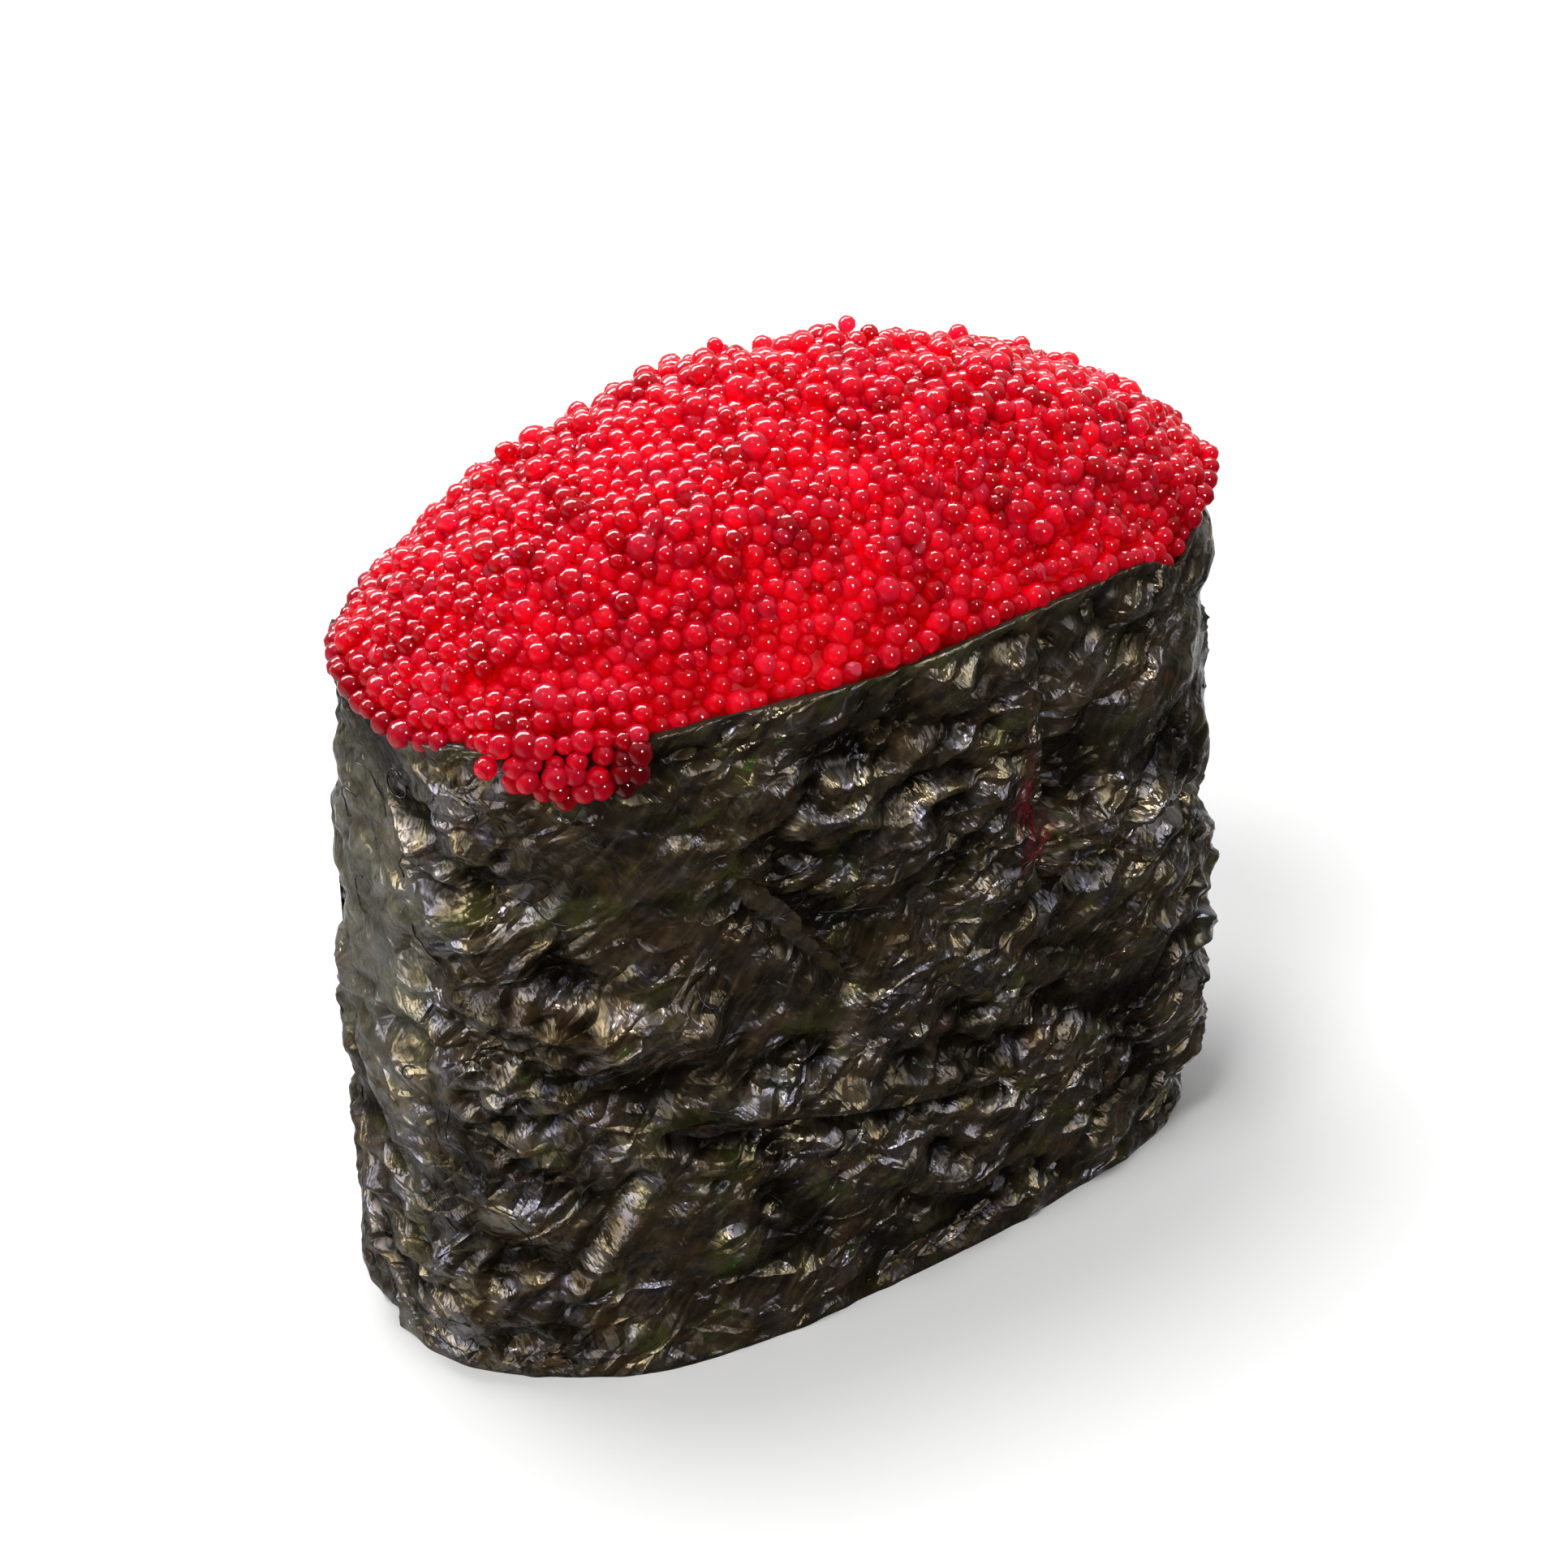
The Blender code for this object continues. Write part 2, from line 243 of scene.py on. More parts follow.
# %% Swells and folds
SWELLS = (
    (72.0, 18.0, 11.0, 0.6),
    (73.5, 8.0, 6.0, 0.9),
    (124.0, 7.0, 6.0, 0.7),
    (112.0, 19.0, 6.0, 0.6),
    (79.0, 29.0, 5.0, 0.6),
    (98.0, 30.0, 7.0, 0.3),
    (85.0, 1.0, 7.0, -0.6),
    (108.0, 1.0, 7.0, 0.5),
    (30.0, 23.0, 10.0, 0.5),
    (50.0, 11.0, 8.0, 0.5),
)
FOLDS = (
    (109.8, 15.1, 89.2, 10.4, 0.5, -1.3),
    (109.8, 16.6, 89.2, 11.9, 0.9, 0.9),
    (116.0, 5.5, 111.5, 12.9, 0.6, -0.9),
    (114.6, 5.5, 110.3, 12.9, 0.9, 0.5),
    (124.1, 25.5, 118.9, 20.6, 1.0, -1.4),
    (118.5, 30.0, 116.5, 30.8, 0.9, -1.1),
    (121.0, 23.6, 108.3, 22.4, 1.3, 1.0),
    (108.5, 22.0, 106.0, 16.0, 1.2, 0.8),
    (84.4, 23.1, 72.0, 22.0, 1.0, -1.3),
    (84.4, 25.0, 74.0, 25.6, 1.8, 0.9),
    (94.8, 24.7, 92.2, 21.6, 0.9, -1.1),
    (87.0, 38.0, 87.0, 22.0, 0.6, -0.8),
    (85.4, 38.0, 85.4, 24.0, 0.9, 0.5),
    (101.0, 33.0, 95.0, 29.0, 1.1, 0.6),
    (106.0, 30.0, 99.0, 21.0, 0.7, -0.7),
    (18.0, 29.0, 42.0, 25.0, 0.9, -1.0),
    (22.0, 14.0, 38.0, 9.0, 0.9, -1.0),
    (52.0, 23.0, 64.0, 30.0, 0.9, -1.0),
    (8.0, 20.0, 14.0, 10.0, 0.9, -0.8),
    (123.0, 20.0, 127.0, 20.0, 0.9, -0.8),
)
RIM_WAVES = (
    (76.5, 2.2, -1.8),
    (88.0, 6.0, 0.5),
    (106.0, 6.0, 0.5),
    (124.0, 3.0, -0.6),
    (20.0, 6.0, 0.5),
    (44.0, 5.0, -0.6),
)
END_TUCK = 0.1 * MM
END_REACH = 9.0 * MM
TUCK_HEIGHT = 4.0 * MM


def ease(value):
    """Ease from 0 to 1 as the value goes from 0 to 1."""
    value = np.clip(value, 0.0, 1.0)
    return value * value * (3.0 - 2.0 * value)


def bell(away, reach):
    """Fade from 1 at a place to 0 far from it."""
    return np.exp(-(away / reach) ** 2)


def gap_along(one, other):
    """Measure the shorter way along the outline between two distances."""
    away = np.mod(np.abs(one - other), GIRTH)
    return np.minimum(away, GIRTH - away)


def swell(distance, height):
    """How far the wrapped rice stands out from the plain outline."""
    relief = np.zeros(np.broadcast(distance, height).shape)
    for along, level, reach, rise in SWELLS:
        away = np.hypot(gap_along(distance, along * MM), height - level * MM)
        relief = relief + rise * MM * bell(away, reach * MM)
    tuck = END_TUCK * bell(gap_along(distance, 0.0), END_REACH)
    return relief - tuck * (1.0 - ease(height / TUCK_HEIGHT)) ** 2


def fold(distance, height):
    """How far the sheet's long folds rise or sink."""
    distance = np.mod(distance, GIRTH)
    relief = np.zeros(np.broadcast(distance, height).shape)
    for start, foot, end, head, width, rise in FOLDS:
        run, lift = (end - start) * MM, (head - foot) * MM
        along, up = distance - start * MM, height - foot * MM
        share = np.clip((along * run + up * lift) / (run ** 2 + lift ** 2), 0.0, 1.0)
        away = np.hypot(along - share * run, up - share * lift)
        relief = relief + rise * MM * bell(away, width * MM)
    return relief


def rim_height(distance):
    """Height of the nori's uneven top edge."""
    height = RIM_HEIGHT + 0.0 * distance
    for along, reach, rise in RIM_WAVES:
        height = height + rise * MM * bell(gap_along(distance, along * MM), reach * MM)
    return height


print("long folds:", len(FOLDS), "and swells:", len(SWELLS))

# %% [markdown]
# ## The nori strip
# Nori is pressed seaweed, dried to a sheet of about 0.2 mm. Here it is one closed, fine grid:
# the rows go up the outer face, over the rim and down the inner face. The strip starts under
# its own outer end, so that the end shows as a cut edge with a dark gap behind it. The sheet
# is given more depth away from its edges, which leaves room for creases to sink in without
# breaking through to the other side.

# %% Strip sizes
SHEET = 0.25 * MM
CREASED = 0.95 * MM
EDGE_REACH = 5.0 * MM
LAP_START = -12.0 * MM
LAP_GAP = 0.12 * MM
LAP_RAMP = 7.0 * MM
FLAP_FOOT = -0.8 * MM
FLAP_LEAN = 8.8 * MM
FLAP_LEAN_HEIGHT = 15.0 * MM
FOOT_GAP = 0.5 * MM
FOOT_GAP_HEIGHT = 5.0 * MM
EDGE_CREASES = 0.25
CREASE_RUN_IN = 1.5 * MM
COLUMNS = 560
OUTER_ROWS = 148
INNER_ROWS = 20


def flap_edge(height):
    """Distance past the outline's start where the strip's outer end is cut, aslant."""
    return FLAP_FOOT + FLAP_LEAN * ease(height / FLAP_LEAN_HEIGHT)


def thickness(edge):
    """Depth of the creased sheet at a distance from its nearest edge."""
    return SHEET + (CREASED - SHEET) * ease(edge / EDGE_REACH)


def strip_rows(levels, inner):
    """Work out rows of the strip, and how far its small creases may reach there."""
    share = np.linspace(0.0, 1.0, COLUMNS + 1)[None, :]
    level = np.asarray(levels)[:, None]
    end = GIRTH + flap_edge(level * RIM_HEIGHT)
    distance = LAP_START + share * (end - LAP_START)
    top = rim_height(distance)
    height = level * top
    rim_edge = np.minimum(height, top - height)
    past = distance - flap_edge(height)
    under = 1.0 - ease(past / LAP_RAMP)
    under = np.where(share < 0.5, under, 0.0)
    over_edge = np.minimum(rim_edge, np.maximum(-past, 0.0))
    own_edge = np.minimum(rim_edge, end - distance)
    thick = thickness(own_edge)
    gap = LAP_GAP + FOOT_GAP * (1.0 - ease(height / FOOT_GAP_HEIGHT))
    depth = under * (thickness(over_edge) + gap)
    reach = EDGE_CREASES + (1.0 - EDGE_CREASES) * ease(rim_edge / CREASE_RUN_IN)
    covered = np.where((share < 0.5) & (past < 0.0), 1.0, 0.0)
    reach = reach * (1.0 - covered * ease(over_edge / EDGE_REACH))
    if inner:
        reach = reach * (1.0 - ease(own_edge / EDGE_REACH))
        depth = depth + thick
    relief = swell(distance, height) + reach * fold(distance, height) - depth
    x, y, across, deep = outline(distance)
    points = np.stack((x + across * relief, y + deep * relief, height), axis=-1)
    outward = np.stack((across, deep, np.zeros_like(deep)), axis=-1)
    sheet = np.stack((distance, height, np.full_like(height, 1.0 if inner else 0.0)), axis=-1)
    return points, outward, sheet, reach


# %% Strip mesh
outer_levels = np.linspace(0.0, 1.0, OUTER_ROWS + 1)
inner_levels = 1.0 - np.linspace(0.0, 1.0, INNER_ROWS + 1) ** 1.5
both = [np.concatenate(pair) for pair in zip(strip_rows(outer_levels, False),
                                             strip_rows(inner_levels, True))]
strip_points, strip_outward, strip_sheet, strip_reach = both
rows, columns = strip_reach.shape
index = np.arange(rows * columns).reshape(rows, columns)
below, above = index, np.roll(index, -1, axis=0)
quads = np.stack((below[:, :-1], below[:, 1:], above[:, 1:], above[:, :-1]), axis=-1)
faces = quads.reshape(-1, 4).tolist()
faces.append(index[:, 0].tolist())
faces.append(index[::-1, -1].tolist())
nori = place("nori_sheet", strip_points.reshape(-1, 3), faces)
note(nori.data, "outward", strip_outward, "FLOAT_VECTOR")
note(nori.data, "sheet", strip_sheet, "FLOAT_VECTOR")
note(nori.data, "reach", strip_reach)
print("nori strip:", len(nori.data.polygons), "faces, each about",
      round((GIRTH - LAP_START) / COLUMNS / MM, 2), "mm wide")

# %% [markdown]
# ## Creases in the nori
# Damp nori shrinks on to the rice like a thin wet film. Rice grains push round lumps into it,
# and between the lumps the sheet draws into sharp plates and ridges. A Geometry Nodes tree adds
# these in the sheet's own flat coordinates, so the creases follow the strip round its corners.
# Lumps come from a smooth Voronoi pattern, plates from the distance to a Voronoi cell's edge,
# and wrinkles from noise folded at its middle. Two calm spots, at the lapped end and beside
# the spilled roe, stay smoother: each has a centre and reaches in millimetres, and the least
# share of creasing that is left there. The tree also notes each point's relief for the
# material, which uses it to paint shade into the hollows.

# %% Crease sizes
CREASES = {
    "Lump Size": 4.6 * MM,
    "Lump Rise": 1.5 * MM,
    "Fold Size": 4.2 * MM,
    "Fold Rise": 1.0 * MM,
    "Plate Size": 2.8 * MM,
    "Plate Rise": 0.5 * MM,
    "Wrinkle Size": 1.7 * MM,
    "Wrinkle Rise": 0.5 * MM,
    "Warp": 3.4 * MM,
    "Calm Size": 9.0 * MM,
    "Deepest": 0.75 * MM,
    "Seed": 3.0,
}
CALM_SPOTS = (
    ((-25.5, 1.0, 28.0), (7.0, 7.0, 14.0), 0.5),
    ((-15.5, -11.5, 31.5), (8.5, 8.5, 6.5), 0.6),
)


# %% Crease patterns
def vector_maths(tree, operation, first, second):
    """Combine two vectors and give the socket that holds the answer."""
    settings = {"operation": operation}
    return add(tree, "ShaderNodeVectorMath", settings, {0: first, 1: second}).outputs[0]


def longer(tree, vector, times):
    """Multiply a vector by a number."""
    return add(tree, "ShaderNodeVectorMath", {"operation": "SCALE"},
               {0: vector, "Scale": times}).outputs[0]


def scaled(tree, vector, size, stretch=(1.0, 1.0, 1.0)):
    """Divide a place by a size in metres, and stretch it."""
    stretched = vector_maths(tree, "MULTIPLY", vector, stretch)
    return longer(tree, stretched, maths(tree, "DIVIDE", 1.0, size))


def warped(tree, vector, size, amount):
    """Push places about by a smooth random amount, so that a pattern flows."""
    noise = add(tree, "ShaderNodeTexNoise", None,
                {"Vector": scaled(tree, vector, size), "Scale": 1.0, "Detail": 2.0})
    centred = vector_maths(tree, "SUBTRACT", noise.outputs["Color"], (0.5, 0.5, 0.5))
    return vector_maths(tree, "ADD", vector, longer(tree, centred, amount))


def ridges(tree, vector, detail=1.0):
    """Fold noise at its middle, which leaves sharp crests between round hollows."""
    noise = add(tree, "ShaderNodeTexNoise", None,
                {"Vector": vector, "Scale": 1.0, "Detail": detail, "Roughness": 0.5})
    middle = maths(tree, "SUBTRACT", noise.outputs["Fac"], 0.5)
    return maths(tree, "SUBTRACT", 0.3, maths(tree, "MULTIPLY",
                                              maths(tree, "ABSOLUTE", middle), 3.6))


def busy(tree, vector, size):
    """Tell calm stretches of the sheet, near 0, from crumpled ones, near 1."""
    noise = add(tree, "ShaderNodeTexNoise", None,
                {"Vector": scaled(tree, vector, size), "Scale": 1.0, "Detail": 1.0})
    return add(tree, "ShaderNodeMapRange", None,
               {"Value": noise.outputs["Fac"], "From Min": 0.38, "From Max": 0.60,
                "To Min": 0.25, "To Max": 1.1}).outputs["Result"]


def stirred(tree, where, spots):
    """Tell how much crumpling is left: little near each calm spot, all of it elsewhere."""
    left = 1.0
    for centre, reach, least in spots:
        apart = vector_maths(tree, "SUBTRACT", where, tuple(value * MM for value in centre))
        apart = scaled(tree, apart, 1.0 * MM, tuple(1.0 / value for value in reach))
        away = add(tree, "ShaderNodeVectorMath", {"operation": "LENGTH"},
                   {0: apart}).outputs["Value"]
        share = add(tree, "ShaderNodeMapRange", {"interpolation_type": "SMOOTHSTEP"},
                    {"Value": away, "From Min": 0.5, "From Max": 1.0,
                     "To Min": least}).outputs["Result"]
        left = maths(tree, "MINIMUM", share, left)
    return left


def slanted(tree, vector, degrees):
    """Turn flat sheet places about the sheet's own upright."""
    return add(tree, "ShaderNodeVectorRotate", {"rotation_type": "Z_AXIS"},
               {"Vector": vector, "Angle": math.radians(degrees)}).outputs[0]


# %% Crease tree
def crease_tree(sizes):
    """Build the tree that creases the sheet."""
    tree, given, out = new_tree("creases", sizes)
    size = {name: given.outputs[name] for name in sizes}

    def read(name, kind="FLOAT"):
        return add(tree, "GeometryNodeInputNamedAttribute", {"data_type": kind},
                   {"Name": name}).outputs["Attribute"]

    seed = add(tree, "ShaderNodeCombineXYZ", None, {"X": size["Seed"]}).outputs[0]
    sheet = vector_maths(tree, "ADD", read("sheet", "FLOAT_VECTOR"), seed)
    flow = warped(tree, sheet, maths(tree, "MULTIPLY", size["Lump Size"], 2.2), size["Warp"])

    lump = add(tree, "ShaderNodeTexVoronoi", {"feature": "SMOOTH_F1"},
               {"Vector": scaled(tree, flow, size["Lump Size"], (0.75, 1.2, 1.0)),
                "Scale": 1.0, "Smoothness": 0.4}).outputs["Distance"]
    plate = add(tree, "ShaderNodeTexVoronoi", {"feature": "DISTANCE_TO_EDGE"},
                {"Vector": scaled(tree, slanted(tree, flow, 35), size["Plate Size"],
                                  (0.6, 1.3, 1.0)), "Scale": 1.0}).outputs["Distance"]
    rises = {
        "Lump Rise": maths(tree, "SUBTRACT", 0.42, lump),
        "Plate Rise": maths(tree, "SUBTRACT", maths(tree, "MINIMUM", maths(
            tree, "MULTIPLY", plate, 3.0), 1.0), 0.7),
        "Fold Rise": ridges(tree, scaled(tree, slanted(tree, flow, -28), size["Fold Size"],
                                         (0.45, 1.3, 1.0))),
        "Wrinkle Rise": ridges(tree, scaled(tree, slanted(tree, flow, 20),
                                            size["Wrinkle Size"], (0.5, 1.3, 1.0))),
    }
    crumple = busy(tree, sheet, size["Calm Size"])
    total = 0.0
    for label, rise in rises.items():
        if label != "Lump Rise":
            rise = maths(tree, "MULTIPLY", rise, crumple)
        total = maths(tree, "ADD", maths(tree, "MULTIPLY", rise, size[label]), total)
    floored = maths(tree, "MAXIMUM", total, maths(tree, "MULTIPLY", size["Deepest"], -1.0))
    position = add(tree, "GeometryNodeInputPosition").outputs["Position"]
    held = maths(tree, "MULTIPLY", read("reach"), stirred(tree, position, CALM_SPOTS))
    relief = maths(tree, "MULTIPLY", floored, held)
    shift = longer(tree, read("outward", "FLOAT_VECTOR"), relief)
    moved = add(tree, "GeometryNodeSetPosition", None,
                {"Geometry": given.outputs["Geometry"], "Offset": shift})
    noted = add(tree, "GeometryNodeStoreNamedAttribute",
                {"data_type": "FLOAT", "domain": "POINT"},
                {"Geometry": moved.outputs["Geometry"], "Name": "relief",
                 "Value": maths(tree, "DIVIDE", relief, MM)})
    finish_tree(tree, noted, nori_material, out)
    return tree


# %% [markdown]
# ## Nori as a material
# Pressed, roasted seaweed is an almost black olive brown. It is a thin film that moisture
# turns glossy, so the eye sees dark hollows next to bright glints along every ridge; the dark
# of the hollows is also painted shade in the colour. Light also leaks through the thin places,
# which look browner, and the pressed blades of seaweed leave cells and fine fibres. The lapped
# end carries a painted sheen, a paler grey. The gloss varies: it is strong on wet, raised film
# and nearly gone in the hollows, and its tint drifts from warm to cool.

# %% Nori material
STAIN = (87.6 * MM, 27.5 * MM, 0.0)      # where roe has dyed the sheet: distance and height


def make_nori_material():
    """Roasted seaweed, damp: dark olive film with fibres, cells and a wet gloss."""
    material, tree = start_material("roasted seaweed")
    sheet = add(tree, "ShaderNodeAttribute", {"attribute_name": "sheet"}).outputs["Vector"]
    relief = add(tree, "ShaderNodeAttribute", {"attribute_name": "relief"}).outputs["Fac"]
    flow = warped(tree, sheet, 7.0 * MM, 3.0 * MM)

    def noise(size, detail=2.0, stretch=(1.0, 1.0, 1.0), vector=flow):
        return add(tree, "ShaderNodeTexNoise", None,
                   {"Vector": scaled(tree, vector, size, stretch), "Scale": 1.0,
                    "Detail": detail, "Roughness": 0.6}).outputs["Fac"]

    def between(value, low, high, to_low=0.0, to_high=1.0):
        return add(tree, "ShaderNodeMapRange", None,
                   {"Value": value, "From Min": low, "From Max": high,
                    "To Min": to_low, "To Max": to_high}).outputs["Result"]

    def mix(share, first, second):
        node = add(tree, "ShaderNodeMix", {"data_type": "RGBA"}, {0: share, 6: first, 7: second})
        return node.outputs[2]

    fibres = noise(1.1 * MM, 3.0, (0.35, 3.0, 1.0), slanted(tree, flow, 55))
    threads = noise(0.9 * MM, 3.0, (0.35, 3.0, 1.0), slanted(tree, flow, -70))
    plates = add(tree, "ShaderNodeTexVoronoi", {"feature": "DISTANCE_TO_EDGE"},
                 {"Vector": scaled(tree, flow, 2.0 * MM, (0.8, 1.2, 1.0)),
                  "Scale": 1.0}).outputs["Distance"]
    plates = between(plates, 0.0, 0.22)
    cells = add(tree, "ShaderNodeTexVoronoi", {"feature": "F1"},
                {"Vector": scaled(tree, flow, 0.6 * MM), "Scale": 1.0}).outputs["Distance"]
    shade = mix(between(noise(3.0 * MM, 4.0), 0.36, 0.64), colour("#1b150f"), colour("#443827"))
    patches_of = {
        "pale fibres": (fibres, 0.5, 0.72, 0.5, "#66583f"),
        "dark cells": (cells, 0.25, 0.6, 0.4, "#0c0a06"),
        "olive": (noise(3.5 * MM, 3.0, vector=sheet), 0.54, 0.66, 0.7, "#3d3f16"),
        "rust": (noise(2.8 * MM, 3.0), 0.56, 0.68, 0.7, "#46301c"),
        "green": (noise(3.0 * MM, 4.0), 0.66, 0.72, 0.8, "#2c4a10"),
    }
    for pattern, low, high, most, code in patches_of.values():
        shade = mix(between(pattern, low, high, 0.0, most), shade, colour(code))
    from_stain = vector_maths(tree, "SUBTRACT", flow, STAIN)
    stain = add(tree, "ShaderNodeVectorMath", {"operation": "LENGTH"},
                {0: scaled(tree, from_stain, 1.0 * MM, (0.8, 0.2, 1.0))}).outputs["Value"]
    stain = maths(tree, "MULTIPLY", between(stain, 1.2, 0.4), between(fibres, 0.4, 0.6))
    shade = mix(stain, shade, colour("#6a0a1e"))
    where = add(tree, "ShaderNodeTexCoord").outputs["Object"]
    # Painted sheen: the calm lapped end is painted a paler grey, streaked along the fibres.
    painted_end_sheen = between(stirred(tree, where, CALM_SPOTS[:1]), 1.0, 0.5, 0.0, 0.55)
    painted_end_sheen = maths(tree, "MULTIPLY", painted_end_sheen, between(fibres, 0.3, 0.6, 0.4, 1.0))
    shade = mix(painted_end_sheen, shade, colour("#62604c"))
    # Painted shade: the deeper the relief sinks, the nearer the colour goes to black.
    shade = mix(between(relief, -0.1, -0.6, 0.0, 0.85), shade, colour("#060503"))

    tint = mix(between(noise(2.2 * MM, 3.0), 0.4, 0.6), colour("#ffe6b4"), colour("#e2e2fa"))
    wet = between(noise(1.8 * MM, 4.0), 0.38, 0.6, 0.15, 1.0)
    calm = between(noise(7.0 * MM, 2.0, vector=sheet), 0.36, 0.56, 0.45, 1.0)
    calm = maths(tree, "MULTIPLY", calm, stirred(tree, where, CALM_SPOTS[1:]))
    wet = maths(tree, "MULTIPLY", wet, calm)
    dry = between(relief, -0.5, 0.1, 0.15, 1.0)
    gloss = between(noise(1.2 * MM, 3.0), 0.35, 0.65, 0.14, 0.36)

    crumple = maths(tree, "MULTIPLY", busy(tree, sheet, 6.0 * MM),
                    stirred(tree, where, CALM_SPOTS))
    normal = None
    layers = (
        (fibres, 0.03), (threads, 0.03),
        (ridges(tree, scaled(tree, slanted(tree, flow, -50), 0.9 * MM, (0.7, 1.2, 1.0)), 2.0),
         0.06),
        (maths(tree, "MULTIPLY", plates, crumple), 0.24),
        (maths(tree, "MULTIPLY", ridges(tree, scaled(
            tree, slanted(tree, flow, 40), 1.9 * MM, (0.5, 1.3, 1.0)), 1.0), crumple), 0.28),
    )
    for height, rise in layers:
        inputs = {"Height": height, "Strength": 1.0, "Distance": rise * MM}
        if normal is not None:
            inputs["Normal"] = normal
        normal = add(tree, "ShaderNodeBump", None, inputs).outputs["Normal"]
    finish_material(tree, {"Base Color": shade, "Specular Tint": tint, "Roughness": gloss,
                           "Specular IOR Level": maths(tree, "MULTIPLY", wet, dry),
                           "Normal": normal})
    return material


nori_material = make_nori_material()
grow(nori, crease_tree(CREASES), CREASES)

# %% [markdown]
# ## Threads of seaweed
# Fine dark threads lie on the pressed sheet, each a few millimetres long and bent its own way.
# Each thread is walked step by step over the sheet's flat coordinates while its heading drifts.
# A ray from outside finds the creased surface at every step, so that the thread rests on it.

# %% Threads
THREADS = 150
THREAD_STEPS = 12
THREAD_RADIUS = 0.045 * MM
THREAD_STEP = (0.15 * MM, 0.42 * MM)
THREAD_BEND = 0.28
THREAD_WANDER = 0.12
THREAD_SUNK = 0.6
THREAD_ENDS = (0.8 * MM, 38.5 * MM)


def lay_threads(sheet_object):
    """Lay thin closed tubes over the outer face of the creased sheet."""
    surface = BVHTree.FromPolygons([vertex.co for vertex in sheet_object.data.vertices],
                                   [face.vertices for face in sheet_object.data.polygons])
    curve = bpy.data.curves.new("nori_threads", "CURVE")
    curve.dimensions = "3D"
    curve.bevel_depth = THREAD_RADIUS
    curve.bevel_resolution = 0
    curve.use_fill_caps = True
    for thread in range(THREADS):
        spot = np.array((rng.uniform(0.0, GIRTH), rng.uniform(1.5 * MM, 37.0 * MM)))
        heading = rng.uniform(0.0, 2 * math.pi)
        bend = rng.normal(0.0, THREAD_BEND)
        step = rng.uniform(*THREAD_STEP)
        found = []
        for place_on in range(THREAD_STEPS):
            x, y, across, deep = outline(np.array([spot[0]]))
            outward = Vector((across[0], deep[0], 0.0))
            start = Vector((x[0], y[0], spot[1])) + outward * 5 * MM
            hit = surface.ray_cast(start, -outward, 8 * MM)[0]
            if hit is not None:
                found.append(hit + outward * THREAD_RADIUS * (1.0 - THREAD_SUNK))
            heading += bend + rng.normal(0.0, THREAD_WANDER)
            spot = spot + step * np.array((math.cos(heading), math.sin(heading)))
            spot[1] = np.clip(spot[1], *THREAD_ENDS)
        if len(found) > 3:
            spline = curve.splines.new("POLY")
            spline.points.add(len(found) - 1)
            for point, where in zip(spline.points, found):
                point.co = (*where, 1.0)
                point.radius = rng.uniform(0.7, 1.2)
    source = bpy.data.objects.new("nori_threads", curve)
    bpy.context.scene.collection.objects.link(source)
    evaluated = source.evaluated_get(bpy.context.evaluated_depsgraph_get())
    mesh = bpy.data.meshes.new_from_object(evaluated)
    mesh.name = "nori_threads"
    bpy.data.objects.remove(source)
    made = bpy.data.objects.new("nori_threads", mesh)
    bpy.context.scene.collection.objects.link(made)
    mesh.shade_smooth()
    print("nori_threads has", len(mesh.polygons), "faces")
    return made


def make_thread_material():
    """A thread of seaweed: thicker than the film, so it looks black, and wet."""
    material, tree = start_material("seaweed thread")
    finish_material(tree, {"Base Color": colour("#0d0b08"), "Roughness": 0.35})
    return material


nori_threads = lay_threads(nori)
nori_threads.data.materials.clear()
nori_threads.data.materials.append(make_thread_material())

# %% [markdown]
# ## The mound of roe
# The roe fills the rim and domes over it. Its surface is a rule: a superellipse that shrinks
# towards the middle while it rises, lower at the far right shoulder, and lumpy. The same rule
# gives the core under the eggs, which is the surface pulled in by an egg, and the places of
# the eggs themselves. The lumps are listed as a place across and along the mound, a reach and a
# rise, in millimetres; a rise below 0 is a hollow.

# %% Mound surface
MOUND_HEIGHT = 10.8 * MM
MOUND_POWER = 2.42
LIP_RISE = 0.65 * MM
FRONT_INSET = 0.55 * MM
END_OVERHANG = 0.15 * MM
LIP_REACH = (6.0 * MM, 13.0 * MM)
SHOULDER = 50.0 * MM
SHOULDER_REACH = 14.0 * MM
SHOULDER_DROP = 0.28
SAMPLES = 720

around = np.arange(SAMPLES) * GIRTH / SAMPLES
lip_share = np.maximum(bell(gap_along(around, 0.0), LIP_REACH[0]),
                       bell(gap_along(around, GIRTH / 2), LIP_REACH[1]))
inset = FRONT_INSET - (FRONT_INSET + END_OVERHANG) * lip_share
edge_x, edge_y, edge_across, edge_deep = outline(around)
edge_x = edge_x - edge_across * inset
edge_y = edge_y - edge_deep * inset
edge_angle = np.unwrap(np.arctan2(edge_y, edge_x))[::-1]
edge_radius = np.hypot(edge_x, edge_y)[::-1]
edge_drop = (SHOULDER_DROP * bell(gap_along(around, SHOULDER), SHOULDER_REACH))[::-1]
edge_lip = (rim_height(around) + LIP_RISE - RIM_HEIGHT)[::-1]
LUMPS = (
    (-9.0, -1.0, 3.0, -0.7),
    (-12.0, -7.0, 3.5, -0.5),
    (1.0, -3.0, 3.5, -0.5),
    (10.0, 1.5, 3.0, -0.4),
    (-17.0, -2.0, 2.5, 0.4),
    (5.0, 4.0, 3.0, 0.5),
    (-3.0, 3.0, 3.0, 0.5),
    (14.0, -5.0, 3.0, 0.4),
    (-5.0, -8.0, 2.5, 0.35),
)


